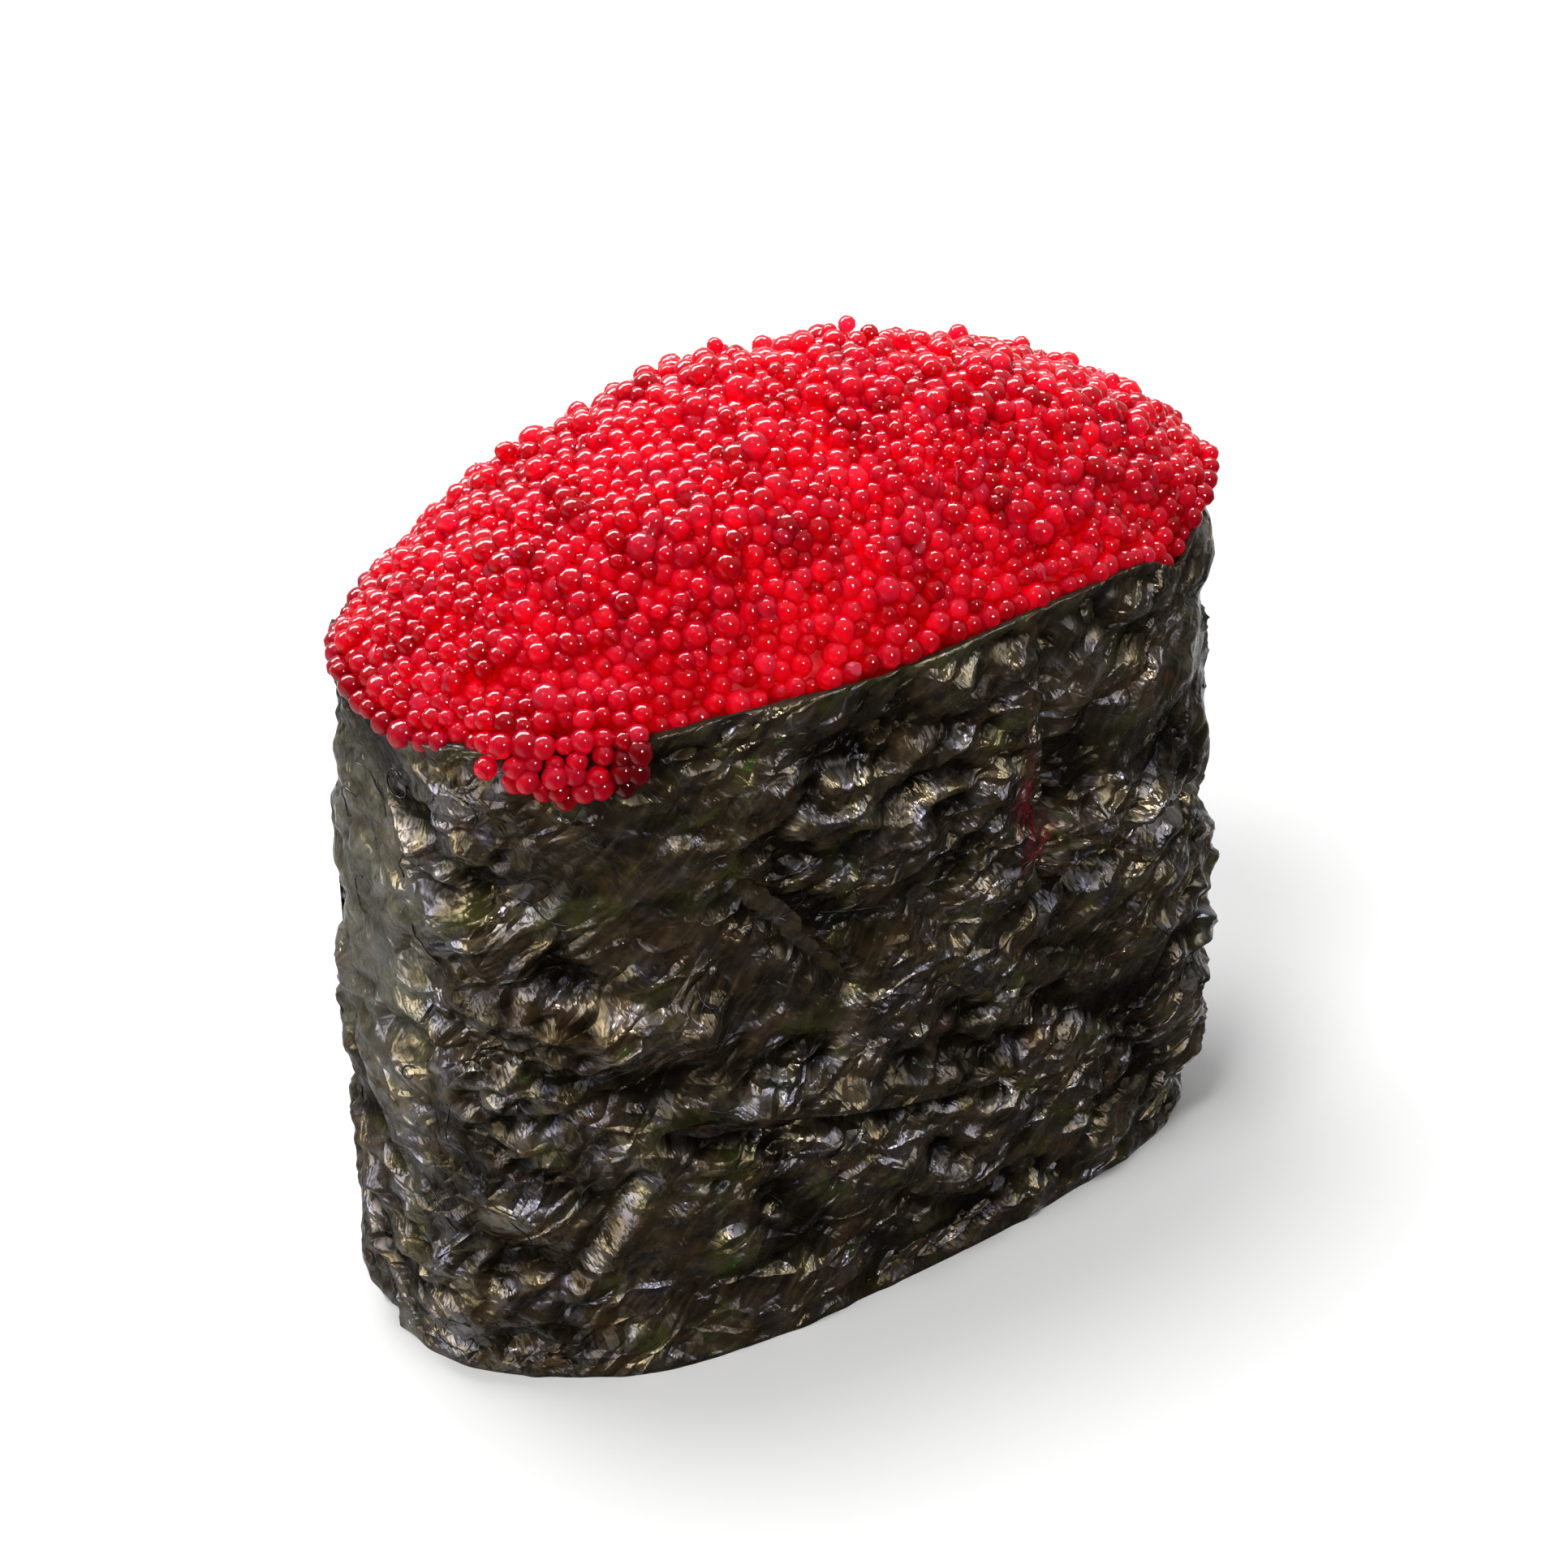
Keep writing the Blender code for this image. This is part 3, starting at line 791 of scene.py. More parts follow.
def mound(x, y):
    """Height of the roe's surface over a place, and how near the edge the place is."""
    angle = np.mod(np.arctan2(y, x) - edge_angle[0], 2 * np.pi) + edge_angle[0]
    radius = np.interp(angle, edge_angle, edge_radius, period=2 * np.pi)
    drop = np.interp(angle, edge_angle, edge_drop, period=2 * np.pi)
    lip = np.interp(angle, edge_angle, edge_lip, period=2 * np.pi)
    scale = np.hypot(x, y) / radius
    inside = np.clip(scale, 0.0, 1.0)
    rise = MOUND_HEIGHT * (1.0 - drop * inside) * (1.0 - inside ** MOUND_POWER)
    for east, north, reach, lift in LUMPS:
        rise = rise + lift * MM * bell(np.hypot(x - east * MM, y - north * MM), reach * MM)
    return RIM_HEIGHT + rise + lip * inside ** 6, scale


def mound_normal(x, y, step=0.2 * MM):
    """Outward direction of the roe's surface over a place."""
    slope_x = (mound(x + step, y)[0] - mound(x - step, y)[0]) / (2 * step)
    slope_y = (mound(x, y + step)[0] - mound(x, y - step)[0]) / (2 * step)
    normal = np.stack((-slope_x, -slope_y, np.ones_like(slope_x)), axis=-1)
    return normal / np.linalg.norm(normal, axis=-1, keepdims=True)


print("top of the mound:", round(float(mound(np.array([0.0]), np.array([0.0]))[0][0]) / MM, 1))

# %% [markdown]
# ## Packing the eggs
# Flying-fish roe has eggs of 1.0 to 1.6 mm that touch but keep their shape. Scattered at
# random they would overlap and leave bald spots. So they are thrown on the mound at random and
# then push each other apart for many rounds, each held to the surface, until they sit close
# like real ones. A second, sparser layer lies on top in patches, which makes the surface and
# its outline uneven.

# %% Packing
EGG_RADIUS = 0.61 * MM
EGG_SPREAD = 0.10 * MM
EGG_LIMITS = (0.46 * MM, 0.88 * MM)
LOWER_EGGS = 1700
UPPER_EGGS = 420
ROUNDS = 70
CLOSENESS = 0.86
PUSH = 0.35
STEEPEST = 3.0
TRIALS = 4000


def throw(count, margin):
    """Throw places on the mound, with as many on a steep part as its area needs."""
    spots = np.zeros((0, 2))
    while len(spots) < count:
        trial = rng.uniform((-LENGTH / 2, -WIDTH / 2), (LENGTH / 2, WIDTH / 2), (TRIALS, 2))
        near = mound(trial[:, 0], trial[:, 1])[1] < margin
        trial = trial[near]
        steep = 1.0 / mound_normal(trial[:, 0], trial[:, 1])[:, 2]
        keep = rng.uniform(0.0, STEEPEST, len(trial)) < np.minimum(steep, STEEPEST)
        spots = np.concatenate((spots, trial[keep]))
    return spots[:count]


def settle(spots, radii, margin):
    """Let eggs push each other apart while they stay on the mound."""
    crowd = np.zeros(len(spots))
    for step in range(ROUNDS):
        height, scale = mound(spots[:, 0], spots[:, 1])
        where = np.column_stack((spots, height))
        apart = where[:, None, :] - where[None, :, :]
        away = np.linalg.norm(apart, axis=2) + np.eye(len(where))
        wanted = (radii[:, None] + radii[None, :]) * CLOSENESS
        overlap = np.clip(wanted - away, 0.0, None) * (1.0 - np.eye(len(where)))
        push = (apart / away[:, :, None] * overlap[:, :, None]).sum(axis=1) * PUSH
        crowd = overlap.sum(axis=1)
        spots = spots + push[:, :2]
        scale = mound(spots[:, 0], spots[:, 1])[1]
        spots = np.where((scale > margin)[:, None], spots * (margin / scale)[:, None], spots)
    return spots, crowd


def egg_sizes(count, limits=EGG_LIMITS):
    """Draw radii of eggs."""
    return np.clip(rng.normal(EGG_RADIUS, EGG_SPREAD, count), *limits)


lower_radii = egg_sizes(LOWER_EGGS)
lower_spots, crowd = settle(throw(LOWER_EGGS, 1.0), lower_radii, 1.0)
print("lower eggs:", LOWER_EGGS, "with a mean overlap of", round(crowd.mean() / MM, 3), "mm")

# %% [markdown]
# The lower eggs are lifted or sunk a little by chance, and the upper ones lie on them where a
# smooth random field says so. A small tongue of eggs has slid over the rim near the lapped
# end. Those follow the outer face of the nori instead of the mound, in rows that narrow towards
# the lowest egg. A row is listed as its height, the place of its middle along the outline, half
# its length and how deep it lies, in millimetres.

# %% Upper layer and the spilled eggs
SPILL_ROWS = (
    (37.2, 115.1, 0.3, -0.7),
    (38.0, 114.2, 2.4, -0.8),
    (38.7, 114.5, 3.5, -0.8),
    (39.5, 114.8, 4.2, -0.6),
    (40.3, 115.0, 4.4, -0.1),
    (41.0, 114.9, 4.5, 0.7),
    (41.6, 114.8, 4.4, 1.6),
)
SPILL_STEP = 1.0 * MM
SPILL_LIMITS = (0.5 * MM, 0.8 * MM)
SPILL_LOOSE = 0.12 * MM
LEVEL_LOOSE = 0.14 * MM
LOWER_LIFT = 0.20 * MM
PATCH_LIFT = 0.15 * MM
UPPER_LIFT = 0.5 * MM
UPPER_LOOSE = 0.15 * MM
UPPER_MARGIN = 0.9
UPPER_ELBOW_ROOM = 1.1
LOWER_PATCH = 2.5 * MM
UPPER_PATCH = 2.2 * MM
UPPER_CHANCE = 0.5


def patches(spots, size, count=26):
    """Give a smooth random field over the mound, from about -1 to 1."""
    centres = rng.uniform((-LENGTH / 2, -WIDTH / 2), (LENGTH / 2, WIDTH / 2), (count, 2))
    signs = rng.choice((-1.0, 1.0), count)
    away = np.linalg.norm(spots[:, None, :] - centres[None, :, :], axis=2)
    return np.tanh((signs * np.exp(-(away / size) ** 2)).sum(axis=1) * 1.5)


def spilled():
    """Places of the eggs that hang over the rim, row by row."""
    places = []
    for height, along, half, depth in SPILL_ROWS:
        count = max(1, round(2 * half * MM / SPILL_STEP))
        shares = (np.arange(count) + 0.5) / count * 2 - 1
        distance = along * MM + shares * half * MM + rng.normal(0.0, SPILL_LOOSE, count)
        level = height * MM + rng.normal(0.0, LEVEL_LOOSE, count)
        x, y, across, deep = outline(distance)
        sunk = depth * MM + rng.normal(0.0, SPILL_LOOSE, count)
        relief = swell(distance, level) - sunk
        places.append(np.column_stack((x + across * relief, y + deep * relief, level)))
    return np.concatenate(places)


lower = np.column_stack((lower_spots, mound(lower_spots[:, 0], lower_spots[:, 1])[0]))
lower_normal = mound_normal(lower_spots[:, 0], lower_spots[:, 1])
lower_lift = rng.normal(0.0, LOWER_LIFT, LOWER_EGGS)
lower_lift = lower_lift + patches(lower_spots, LOWER_PATCH) * PATCH_LIFT
lower = lower + lower_normal * (lower_lift - lower_radii)[:, None]

upper_radii = egg_sizes(UPPER_EGGS)
upper_spots, crowd = settle(throw(UPPER_EGGS, UPPER_MARGIN), upper_radii * UPPER_ELBOW_ROOM,
                            UPPER_MARGIN)
field = patches(upper_spots, UPPER_PATCH)
chosen = field + rng.normal(0.0, UPPER_CHANCE, UPPER_EGGS) > 0.0
upper_spots, upper_radii = upper_spots[chosen], upper_radii[chosen]
upper = np.column_stack((upper_spots, mound(upper_spots[:, 0], upper_spots[:, 1])[0]))
upper_normal = mound_normal(upper_spots[:, 0], upper_spots[:, 1])
upper_lift = UPPER_LIFT + rng.normal(0.0, UPPER_LOOSE, len(upper))
upper = upper + upper_normal * (upper_lift - upper_radii)[:, None]

spill = spilled()
spill_radii = egg_sizes(len(spill), SPILL_LIMITS)
egg_places = np.concatenate((lower, upper, spill))
egg_radii = np.concatenate((lower_radii, upper_radii, spill_radii))
print("eggs:", len(lower), "lower,", len(upper), "upper and", len(spill), "spilled")

# %% [markdown]
# ## Eggs
# Each egg is a small ball that is a little squashed and turned its own way, since a row of
# perfect balls looks like beads. One Geometry Nodes tree puts a ball with few faces on every
# point, makes the copies real and dents them with noise. A number per egg, its tone, goes along
# to the material, so that some eggs are paler and some deeper. A few at the far side of the
# spill, which lie over dark nori, get a nearly black-red tone: painted shade for the dark nori
# under them.

# %% Egg tree
EGG_SIZES = {"Dent Size": 0.9 * MM, "Dent Depth": 0.10 * MM, "Ball Detail": 2.0}
EGG_SQUASH = 0.05
EGG_TONE = 0.5
EGG_TONE_SPREAD = 0.22
DEEPEST_TONE = 0.16
# Painted shade: tones for the far spilled eggs that lie over dark nori.
DARK_TONES = (0.0, 0.12)
DARK_BELOW = 40.0 * MM
DARK_SHARE = 74


def ball_tree(name, sizes, material):
    """Put a dented ball on each point, sized, turned and toned by the point's attributes."""
    tree, given, out = new_tree(name, sizes)

    def read(label, kind="FLOAT_VECTOR"):
        return add(tree, "GeometryNodeInputNamedAttribute", {"data_type": kind},
                   {"Name": label}).outputs["Attribute"]

    ball = add(tree, "GeometryNodeMeshIcoSphere", None,
               {"Radius": 1.0, "Subdivisions": given.outputs["Ball Detail"]})
    turned = add(tree, "FunctionNodeEulerToRotation", None, {"Euler": read("turn")})
    copies = add(tree, "GeometryNodeInstanceOnPoints", None,
                 {"Points": given.outputs["Geometry"], "Instance": ball.outputs["Mesh"],
                  "Rotation": turned.outputs["Rotation"], "Scale": read("size")})
    whole = add(tree, "GeometryNodeRealizeInstances", None,
                {"Geometry": copies.outputs["Instances"]})
    position = add(tree, "GeometryNodeInputPosition").outputs["Position"]
    closer = longer(tree, position, maths(tree, "DIVIDE", 1.0, given.outputs["Dent Size"]))
    noise = add(tree, "ShaderNodeTexNoise", None,
                {"Vector": closer, "Scale": 1.0, "Detail": 1.0}).outputs["Color"]
    centred = vector_maths(tree, "SUBTRACT", noise, (0.5, 0.5, 0.5))
    dent = longer(tree, centred, maths(tree, "MULTIPLY", given.outputs["Dent Depth"], 2.0))
    moved = add(tree, "GeometryNodeSetPosition", None,
                {"Geometry": whole.outputs["Geometry"], "Offset": dent})
    finish_tree(tree, moved, material, out)
    return tree


def scatter(name, places, sizes, turns, tones, tree, settings):
    """Make one piece of many balls from their places, sizes, turns and tones."""
    made = place(name, places)
    note(made.data, "size", sizes, "FLOAT_VECTOR")
    note(made.data, "turn", turns, "FLOAT_VECTOR")
    note(made.data, "tone", tones)
    return grow(made, tree, settings)


# %% [markdown]
# ## Roe as a material
# A roe egg is a clear skin full of crimson oil and water. Light enters, is dyed red and comes
# out again at the far side, so the lower edge of an egg glows while its middle is deep. The
# skin is wet and smooth and mirrors the lamps as small white marks. Part of the light goes
# through as in glass with the refraction of egg white, and part scatters just under the skin.

# %% Roe material
def make_roe_material():
    """Fish roe: crimson, translucent, wet."""
    material, tree = start_material("crimson fish roe")
    where = add(tree, "ShaderNodeTexCoord").outputs["Object"]
    tone = add(tree, "ShaderNodeAttribute", {"attribute_name": "tone"}).outputs["Fac"]
    ramp = add(tree, "ShaderNodeValToRGB", None, {"Fac": tone})
    stops = ramp.color_ramp.elements
    stops.remove(stops[1])
    # Only the painted-shade eggs of the far spill reach this darkest stop.
    stops[0].color = colour("#5c000c")
    for share, code in ((0.16, "#c80018"), (0.5, "#fc0a34"), (1.0, "#ff2c54")):
        stops.new(share).color = colour(code)
    ripple = add(tree, "ShaderNodeTexNoise", None,
                 {"Vector": where, "Scale": 1.0 / (0.35 * MM), "Detail": 3.0})
    bump = add(tree, "ShaderNodeBump", None,
               {"Height": ripple.outputs["Fac"], "Strength": 0.2, "Distance": 0.05 * MM})
    finish_material(tree, {
        "Base Color": ramp.outputs["Color"], "Roughness": 0.07, "IOR": 1.36,
        "Specular IOR Level": 0.32, "Transmission Weight": 0.66,
        "Subsurface Weight": 0.8, "Subsurface Radius": (1.0, 0.1, 0.14),
        "Subsurface Scale": 1.0 * MM, "Normal": bump.outputs["Normal"]})
    return material


def make_roe_core_material():
    """The mass of roe below the top eggs: a red glow with hardly any gloss of its own."""
    material, tree = start_material("deep roe")
    finish_material(tree, {
        "Base Color": colour("#f4001c"), "Roughness": 0.5, "Specular IOR Level": 0.1,
        "Subsurface Weight": 1.0, "Subsurface Radius": (1.0, 0.1, 0.12),
        "Subsurface Scale": 1.0 * MM})
    return material


roe_material = make_roe_material()
roe_core_material = make_roe_core_material()
egg_shapes = 1.0 + rng.normal(0.0, EGG_SQUASH, (len(egg_places), 3))
egg_turns = rng.uniform(0.0, 2 * math.pi, (len(egg_places), 3))
egg_tones = rng.normal(EGG_TONE, EGG_TONE_SPREAD, len(egg_places))
egg_tones = np.clip(egg_tones, DEEPEST_TONE, 1.0)
# Painted shade: the far spilled eggs over dark nori are given nearly black-red tones.
far_spill = np.flatnonzero((spill[:, 0] > np.percentile(spill[:, 0], DARK_SHARE))
                           & (spill[:, 2] < DARK_BELOW))
egg_tones[len(egg_places) - len(spill) + far_spill] = rng.uniform(*DARK_TONES, len(far_spill))
egg_tree = ball_tree("eggs on points", EGG_SIZES, roe_material)
roe_eggs = scatter("roe_eggs", egg_places, egg_shapes * egg_radii[:, None], egg_turns,
                   egg_tones, egg_tree, EGG_SIZES)

# %% [markdown]
# ## The core under the eggs
# Eggs that nobody can see needn't be made. One closed core fills the heap down to the rice,
# an egg's depth below the surface, with an egg-sized relief on it where a gap lets the eye
# through. Its top follows the same mound rule, and its side stays inside the nori.

# %% Roe core
CORE_DEPTH = 1.0 * MM
CORE_SHARE = 0.945
CORE_FLOOR = 30.0 * MM
CORE_RINGS = 70
CORE_SPOKES = 360
CORE_FOOT = 0.985
CORE_CROWDING = 1.3
CORE_TIP = 0.004
CORE_EDGE = (0.6, 8)
CORE_SIZES = {"Bump Size": 1.25 * MM, "Bump Rise": 0.35 * MM}


def skin_over(rings):
    """Join rings of points, listed from the foot up, to a closed skin with flat ends."""
    points = np.concatenate([np.column_stack(ring) for ring in rings])
    spot = np.arange(len(points)).reshape(len(rings), CORE_SPOKES)
    right = np.roll(spot, -1, axis=1)
    sides = np.stack((spot[:-1], right[:-1], right[1:], spot[1:]), axis=-1)
    faces = sides.reshape(-1, 4).tolist()
    faces.append(spot[0][::-1].tolist())
    faces.append(spot[-1].tolist())
    return points, faces


def roe_core_mesh():
    """Make rings of points from the floor up the side and over the mound."""
    angle = np.linspace(0.0, 2 * np.pi, CORE_SPOKES, endpoint=False)
    radius = np.interp(angle, edge_angle, edge_radius, period=2 * np.pi)
    rim = CORE_SHARE * radius
    rings = [(rim * CORE_FOOT, np.full(CORE_SPOKES, CORE_FLOOR))]
    shares = 1.0 - np.linspace(0.0, 1.0, CORE_RINGS) ** CORE_CROWDING
    deeper, steepness = CORE_EDGE
    for share in shares[:-1]:
        reach = rim * max(share, CORE_TIP)
        x, y = reach * np.cos(angle), reach * np.sin(angle)
        depth = CORE_DEPTH * (1.0 + deeper * share ** steepness)
        rings.append((reach, mound(x, y)[0] - depth))
    return skin_over([(reach * np.cos(angle), reach * np.sin(angle), height)
                      for reach, height in rings])


def core_tree(name, sizes, material):
    """Raise bumps along the normals of a closed core."""
    tree, given, out = new_tree(name, sizes)
    position = add(tree, "GeometryNodeInputPosition").outputs["Position"]
    normal = add(tree, "GeometryNodeInputNormal").outputs["Normal"]
    scale = maths(tree, "DIVIDE", 1.0, given.outputs["Bump Size"])
    cells = add(tree, "ShaderNodeTexVoronoi", {"feature": "F1"},
                {"Vector": longer(tree, position, scale), "Scale": 1.0}).outputs["Distance"]
    rise = maths(tree, "MULTIPLY", maths(tree, "SUBTRACT", 0.4, cells),
                 given.outputs["Bump Rise"])
    moved = add(tree, "GeometryNodeSetPosition", None,
                {"Geometry": given.outputs["Geometry"], "Offset": longer(tree, normal, rise)})
    finish_tree(tree, moved, material, out)
    return tree


roe_core = place("roe_core", *roe_core_mesh())
grow(roe_core, core_tree("roe bumps", CORE_SIZES, roe_core_material), CORE_SIZES)

# %% [markdown]
# ## Burst skins
# A few eggs have burst, and their emptied skins lie curled between the others. They catch the
# light as small pale pink films. Here each is a very flat, strongly dented ball that stands at
# a chance angle on the heap.

# %% Skins
SKINS = 46
SKIN_LENGTHS = (0.3, 0.65)
SKIN_WIDTHS = (0.15, 0.4)
SKIN_DEPTHS = (0.04, 0.09)
SKIN_RISE = 0.85
SKIN_SIZES = {"Dent Size": 0.6 * MM, "Dent Depth": 0.28 * MM, "Ball Detail": 3.0}


def make_skin_material():
    """Empty egg skin: a wet, pale pink film that lets light through."""
    material, tree = start_material("egg skin")
    finish_material(tree, {"Base Color": colour("#e8506c"), "Roughness": 0.2,
                           "Transmission Weight": 0.6, "IOR": 1.35, "Coat Weight": 0.5})
    return material


skin_material = make_skin_material()
host = rng.choice(len(lower) + len(upper), SKINS, replace=False)
skin_normal = np.concatenate((lower_normal, upper_normal))[host]
skin_places = egg_places[host] + skin_normal * (egg_radii[host] * SKIN_RISE)[:, None]
skin_sizes = np.stack([rng.uniform(*limits, SKINS)
                       for limits in (SKIN_LENGTHS, SKIN_WIDTHS, SKIN_DEPTHS)], axis=-1) * MM
skin_turns = rng.uniform(0.0, 2 * math.pi, (SKINS, 3))
skin_tree = ball_tree("skins on points", SKIN_SIZES, skin_material)
roe_skins = scatter("roe_skins", skin_places, skin_sizes, skin_turns, np.full(SKINS, 0.5),
                    skin_tree, SKIN_SIZES)

# %% [markdown]
# ## Rice
# Only the underside of the rice is open to view. It is a hand-pressed block of cooked short
# grains, so a closed core carries the bulk and a layer of loose grains lies at its foot. They
# push each other apart as the eggs do, and each is turned its own way on the table.

# %% Rice sizes and material
RICE_HEIGHT = 29.0 * MM
RICE_FOOT = 1.1 * MM
RICE_INSET = 2.1 * MM
GRAIN_INSET = 4.4 * MM
GRAINS = 150
GRAIN_ROUNDS = 60
GRAIN_SPACING = 2.6 * MM
GRAIN_PUSH = 0.3
GRAIN_LIFT = 0.35 * MM
GRAIN_CLEAR = 0.02 * MM
GRAIN_SPREAD = 0.07
GRAIN_TILTS = (0.1, 0.05)
GRAIN_SIZE = (2.5 * MM, 1.15 * MM, 1.05 * MM)
RICE_SIZES = {"Dent Size": 2.0 * MM, "Dent Depth": 0.12 * MM, "Ball Detail": 2.0}
RICE_CORE_SIZES = {"Bump Size": 2.4 * MM, "Bump Rise": 0.5 * MM}
END_SHARES = (0.03, 0.3, 0.6, 0.85, 0.97)
SIDE_LEVELS = np.linspace(0.06, 0.97, 14)


def make_rice_material():
    """Cooked rice: milky, translucent, slightly sticky gloss."""
    material, tree = start_material("cooked rice")
    where = add(tree, "ShaderNodeTexCoord").outputs["Object"]
    cloud = add(tree, "ShaderNodeTexNoise", None,
                {"Vector": where, "Scale": 1.0 / (1.5 * MM), "Detail": 2.0})
    shade = add(tree, "ShaderNodeMix", {"data_type": "RGBA"},
                {0: cloud.outputs["Fac"], 6: colour("#f4f0e4"), 7: colour("#e2dccb")})
    finish_material(tree, {
        "Base Color": shade.outputs[2], "Roughness": 0.32, "Subsurface Weight": 0.6,
        "Subsurface Radius": (1.0, 0.9, 0.7), "Subsurface Scale": 1.2 * MM})
    return material


# %% Rice core
def rice_core_mesh():
    """Make the block as rings of points between the foot and the top, with closed ends."""
    around = np.linspace(0.0, GIRTH, CORE_SPOKES, endpoint=False)[::-1]
    x, y, across, deep = outline(around)
    rings = [(share, RICE_FOOT) for share in END_SHARES]
    rings += [(1.0, level * RICE_HEIGHT) for level in SIDE_LEVELS]
    rings += [(share, RICE_HEIGHT) for share in END_SHARES[::-1]]
    return skin_over([((x - across * RICE_INSET) * share, (y - deep * RICE_INSET) * share,
                       np.full(CORE_SPOKES, height)) for share, height in rings])


rice_material = make_rice_material()
rice_core = place("rice_core", *rice_core_mesh())
grow(rice_core, core_tree("rice bumps", RICE_CORE_SIZES, rice_material), RICE_CORE_SIZES)


# %% Rice grains
def lay_grains():
    """Spread grains over the foot of the block until they lie side by side."""
    angle = rng.uniform(0.0, 2 * np.pi, GRAINS)
    reach = np.sqrt(rng.uniform(0.0, 1.0, GRAINS))
    x, y, across, deep = outline(rng.uniform(0.0, GIRTH, GRAINS))
    spots = np.column_stack(((x - across * GRAIN_INSET) * reach,
                             (y - deep * GRAIN_INSET) * reach))
    for step in range(GRAIN_ROUNDS):
        apart = spots[:, None, :] - spots[None, :, :]
        away = np.linalg.norm(apart, axis=2) + np.eye(GRAINS)
        overlap = np.clip(GRAIN_SPACING - away, 0.0, None) * (1.0 - np.eye(GRAINS))
        push = (apart / away[:, :, None] * overlap[:, :, None]).sum(axis=1) * GRAIN_PUSH
        spots = spots + push
        inner_x, inner_y = LENGTH / 2 - GRAIN_INSET, WIDTH / 2 - GRAIN_INSET
        scale = (np.abs(spots[:, 0] / inner_x) ** CORNER_POWER
                 + np.abs(spots[:, 1] / inner_y) ** CORNER_POWER) ** (1 / CORNER_POWER)
        spots = np.where((scale > 1.0)[:, None], spots / scale[:, None], spots)
    return spots, angle


grain_spots, grain_angle = lay_grains()
grain_scale = rng.normal(1.0, GRAIN_SPREAD, (GRAINS, 1))
grain_sizes = np.array(GRAIN_SIZE)[None, :] * grain_scale
grain_height = grain_sizes[:, 2] + rng.uniform(0.0, GRAIN_LIFT, GRAINS)
grain_tilts = [rng.normal(0.0, tilt, GRAINS) for tilt in GRAIN_TILTS]
grain_turns = np.column_stack((*grain_tilts, grain_angle))
grain_tree = ball_tree("grains on points", RICE_SIZES, rice_material)
rice_grains = scatter("rice_grains", np.column_stack((grain_spots, grain_height)), grain_sizes,
                      grain_turns, np.full(GRAINS, 0.5), grain_tree, RICE_SIZES)
for vertex in rice_grains.data.vertices:
    vertex.co.z = max(vertex.co.z, GRAIN_CLEAR)

# %% [markdown]
# ## Table and light
# The piece stands on a white table under soft light, which the table doesn't mirror back. Two
# lamps above it, one from the left and one from behind, light what is matt and cast the shadow
# to the right and the front. A strip behind it gives every egg a broad bright edge, and a
# small round lamp on the camera's side gives it a second, small mark. Three more strips only
# light the nori, so that its ridges glint. The surroundings are bright above and dimmer on the
# camera's side, which gives the dark, glossy nori something dark to mirror next to its glints.

# %% Table
FLOOR_SIZE = 3.0


def make_floor_material():
    """Matt white table top."""
    material, tree = start_material("white table")
    finish_material(tree, {"Base Color": colour("#dddddd"), "Roughness": 0.9,
                           "Specular IOR Level": 0.1})
    return material


half = FLOOR_SIZE / 2
floor = place("floor", [(-half, -half, 0), (half, -half, 0), (half, half, 0), (-half, half, 0)],
              [(0, 1, 2, 3)])
floor.data.materials.append(make_floor_material())
floor.visible_glossy = False

# %% Lamps
# Each lamp has a name, the way from the piece to it, its distance, width and height in metres,
# its radiance, and whether it lights matt surfaces and shows in glossy ones.
LAMPS = (
    ("side key", (-0.40, -0.18, 0.90), 0.50, 0.17, 0.17, 22.0, True, False),
    ("top key", (-0.10, 0.26, 0.96), 0.50, 0.20, 0.20, 15.0, True, False),
    ("back strip", (0.05, 0.62, 0.80), 0.50, 0.80, 0.20, 30.0, False, True),
    ("round", (0.10, -0.80, 0.58), 0.55, 0.13, 0.13, 70.0, False, True),
    ("left strip", (-1.0, 0.15, 0.30), 0.50, 0.25, 0.50, 16.0, False, True),
    ("front left", (-0.85, -0.65, 0.50), 0.55, 0.24, 0.40, 13.0, False, True),
    ("front right", (0.75, -0.80, 0.35), 0.55, 0.20, 0.45, 9.5, False, True),
)
LAMP_AIM = Vector((0.0, 0.0, 25 * MM))


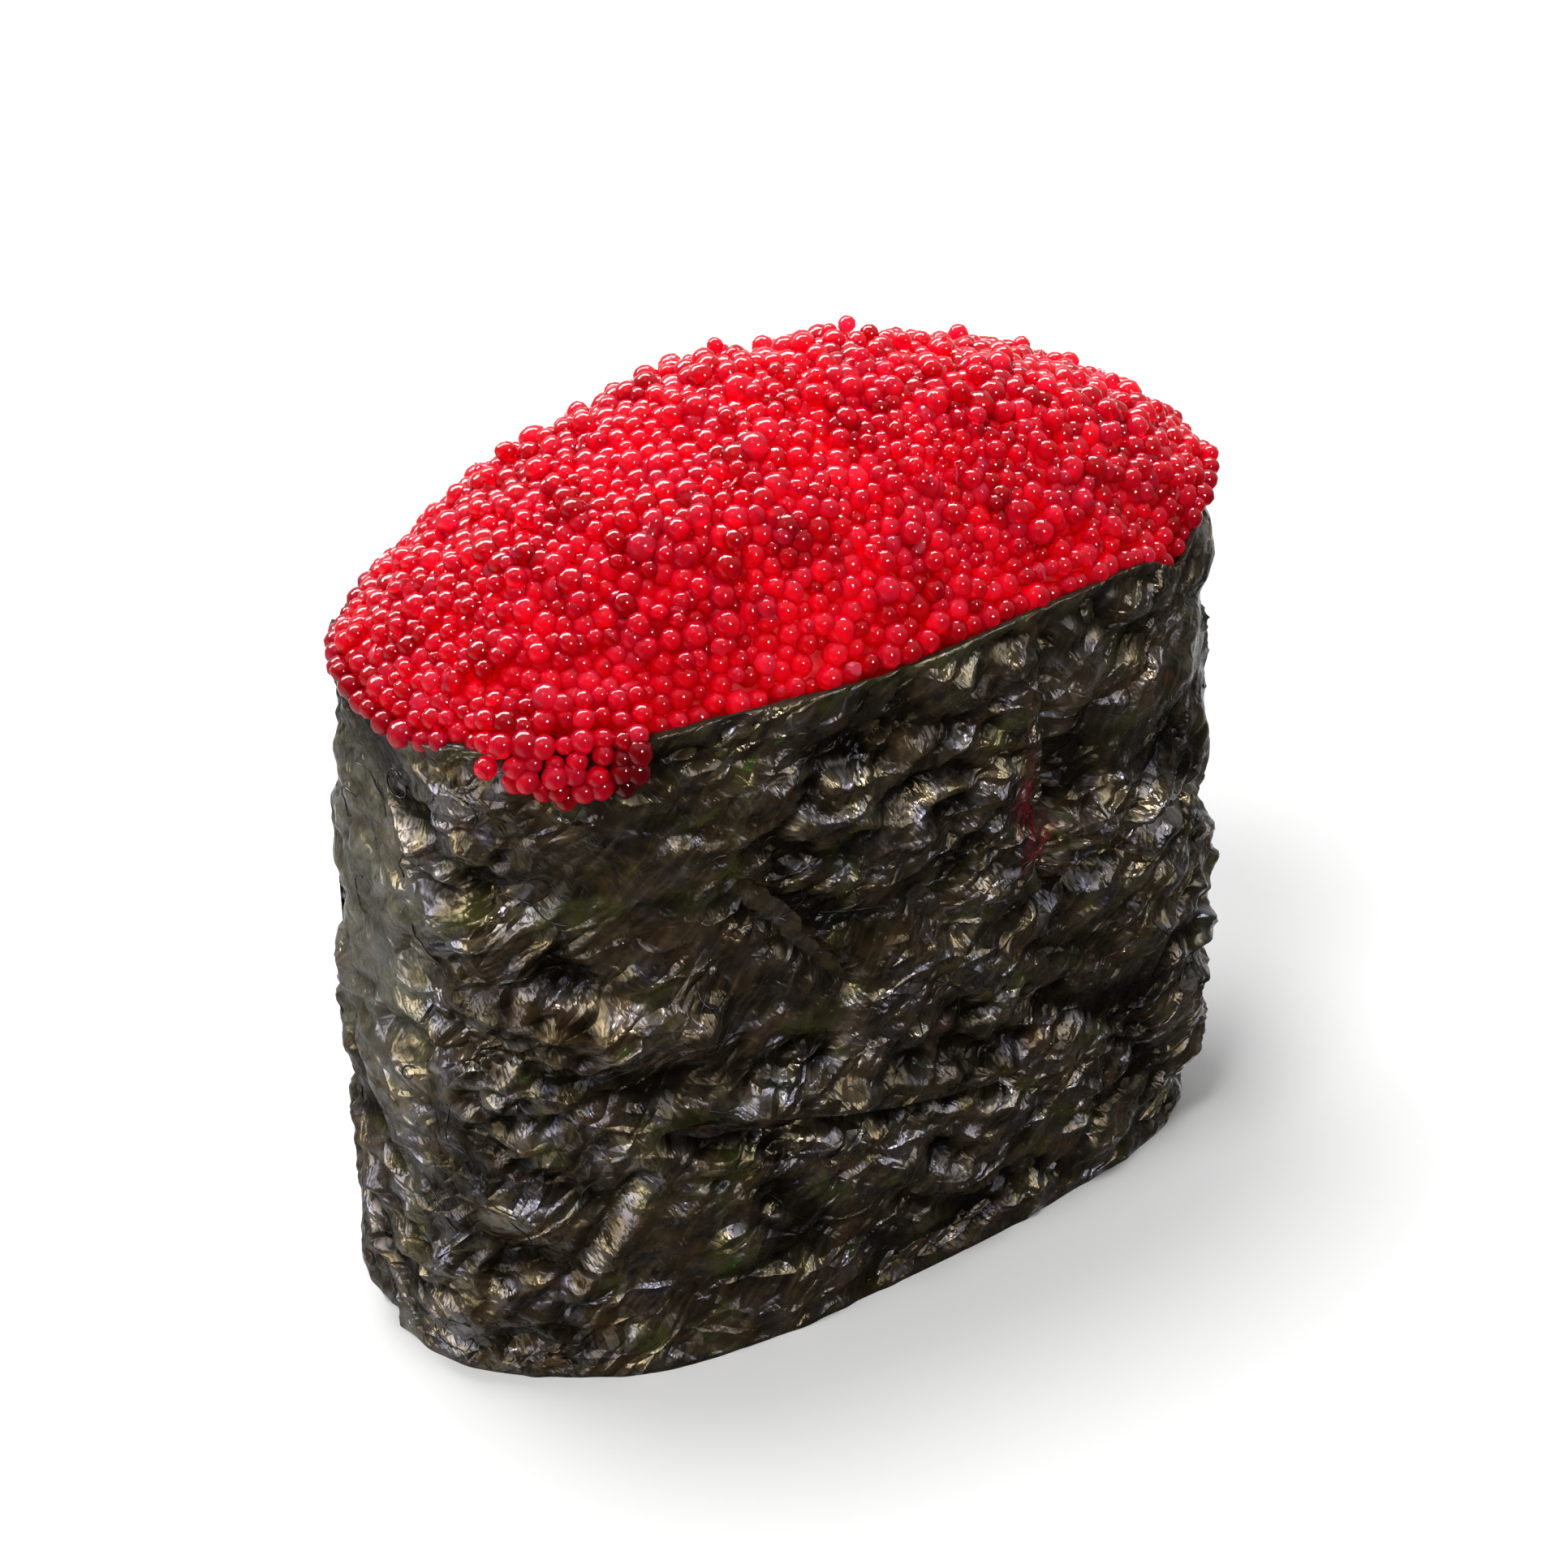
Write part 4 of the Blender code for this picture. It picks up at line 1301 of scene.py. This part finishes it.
def lamp(name, towards, distance, wide, tall, radiance, on_matt, in_mirror):
    """Hang an area lamp that faces the middle of the piece. Equal sides make it round."""
    light = bpy.data.objects.new(name, bpy.data.lights.new(name, "AREA"))
    light.data.shape = "DISK" if wide == tall else "RECTANGLE"
    light.data.size = wide
    light.data.size_y = tall
    area = math.pi * wide * tall / 4 if wide == tall else wide * tall
    light.data.energy = radiance * math.pi * area
    light.visible_diffuse = on_matt
    light.visible_glossy = in_mirror
    direction = Vector(towards).normalized()
    across = (camera_right - direction * camera_right.dot(direction)).normalized()
    turned = Matrix((across, direction.cross(across), direction)).transposed()
    light.location = direction * distance + LAMP_AIM
    light.rotation_mode = "QUATERNION"
    light.rotation_quaternion = turned.to_quaternion()
    bpy.context.scene.collection.objects.link(light)
    return light


lamps = {values[0]: lamp(*values) for values in LAMPS}
glossy_film = bpy.data.collections.new("glossy film")
glossy_film.objects.link(nori)
for name in ("left strip", "front left", "front right"):
    lamps[name].light_linking.receiver_collection = glossy_film

# %% Surroundings
# Each glow has its direction, where it starts and where it is full, as the cosine of the angle
# from that direction, and its strength.
GLOWS = (
    ((0.33, 0.50, 0.80), -0.1, 0.8, 0.75),
    ((-0.78, 0.14, -0.61), 0.55, 0.95, 1.3),
    ((0.46, 0.69, -0.56), 0.70, 1.0, 0.9),
)
BASE_GLOW = 0.08

world = bpy.data.worlds.new("studio")
world.use_nodes = True
bpy.context.scene.world = world
sky = world.node_tree
direction = add(sky, "ShaderNodeTexCoord").outputs["Generated"]
strength = BASE_GLOW
for towards, start, full, radiance in GLOWS:
    facing = add(sky, "ShaderNodeVectorMath", {"operation": "DOT_PRODUCT"},
                 {0: direction, 1: towards}).outputs["Value"]
    share = add(sky, "ShaderNodeMapRange", {"interpolation_type": "SMOOTHSTEP"},
                {"Value": facing, "From Min": start, "From Max": full,
                 "To Max": radiance}).outputs["Result"]
    strength = maths(sky, "ADD", share, strength)
fill(sky, sky.nodes["Background"], {"Strength": strength, "Color": (1.0, 1.0, 1.0, 1.0)})
bpy.context.scene.view_settings.view_transform = "Standard"

# %% [markdown]
# ## Hand over to the frame
# Every finished piece rides the single body and hides the frame node that it stands for. The
# table also lists the slot of its finish, which nothing here uses.

# %% Pieces and frame
PIECES = (
    (nori, "nori_band", "nori"),
    (nori_threads, "nori_band", "nori"),
    (rice_core, "rice_block", "rice"),
    (rice_grains, "rice_block", "rice"),
    (roe_core, "roe_heap", "roe"),
    (roe_eggs, "roe_heap", "roe"),
    (roe_skins, "roe_heap", "roe"),
)
for piece, node, slot in PIECES:
    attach(piece, "root")
    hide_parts(node)
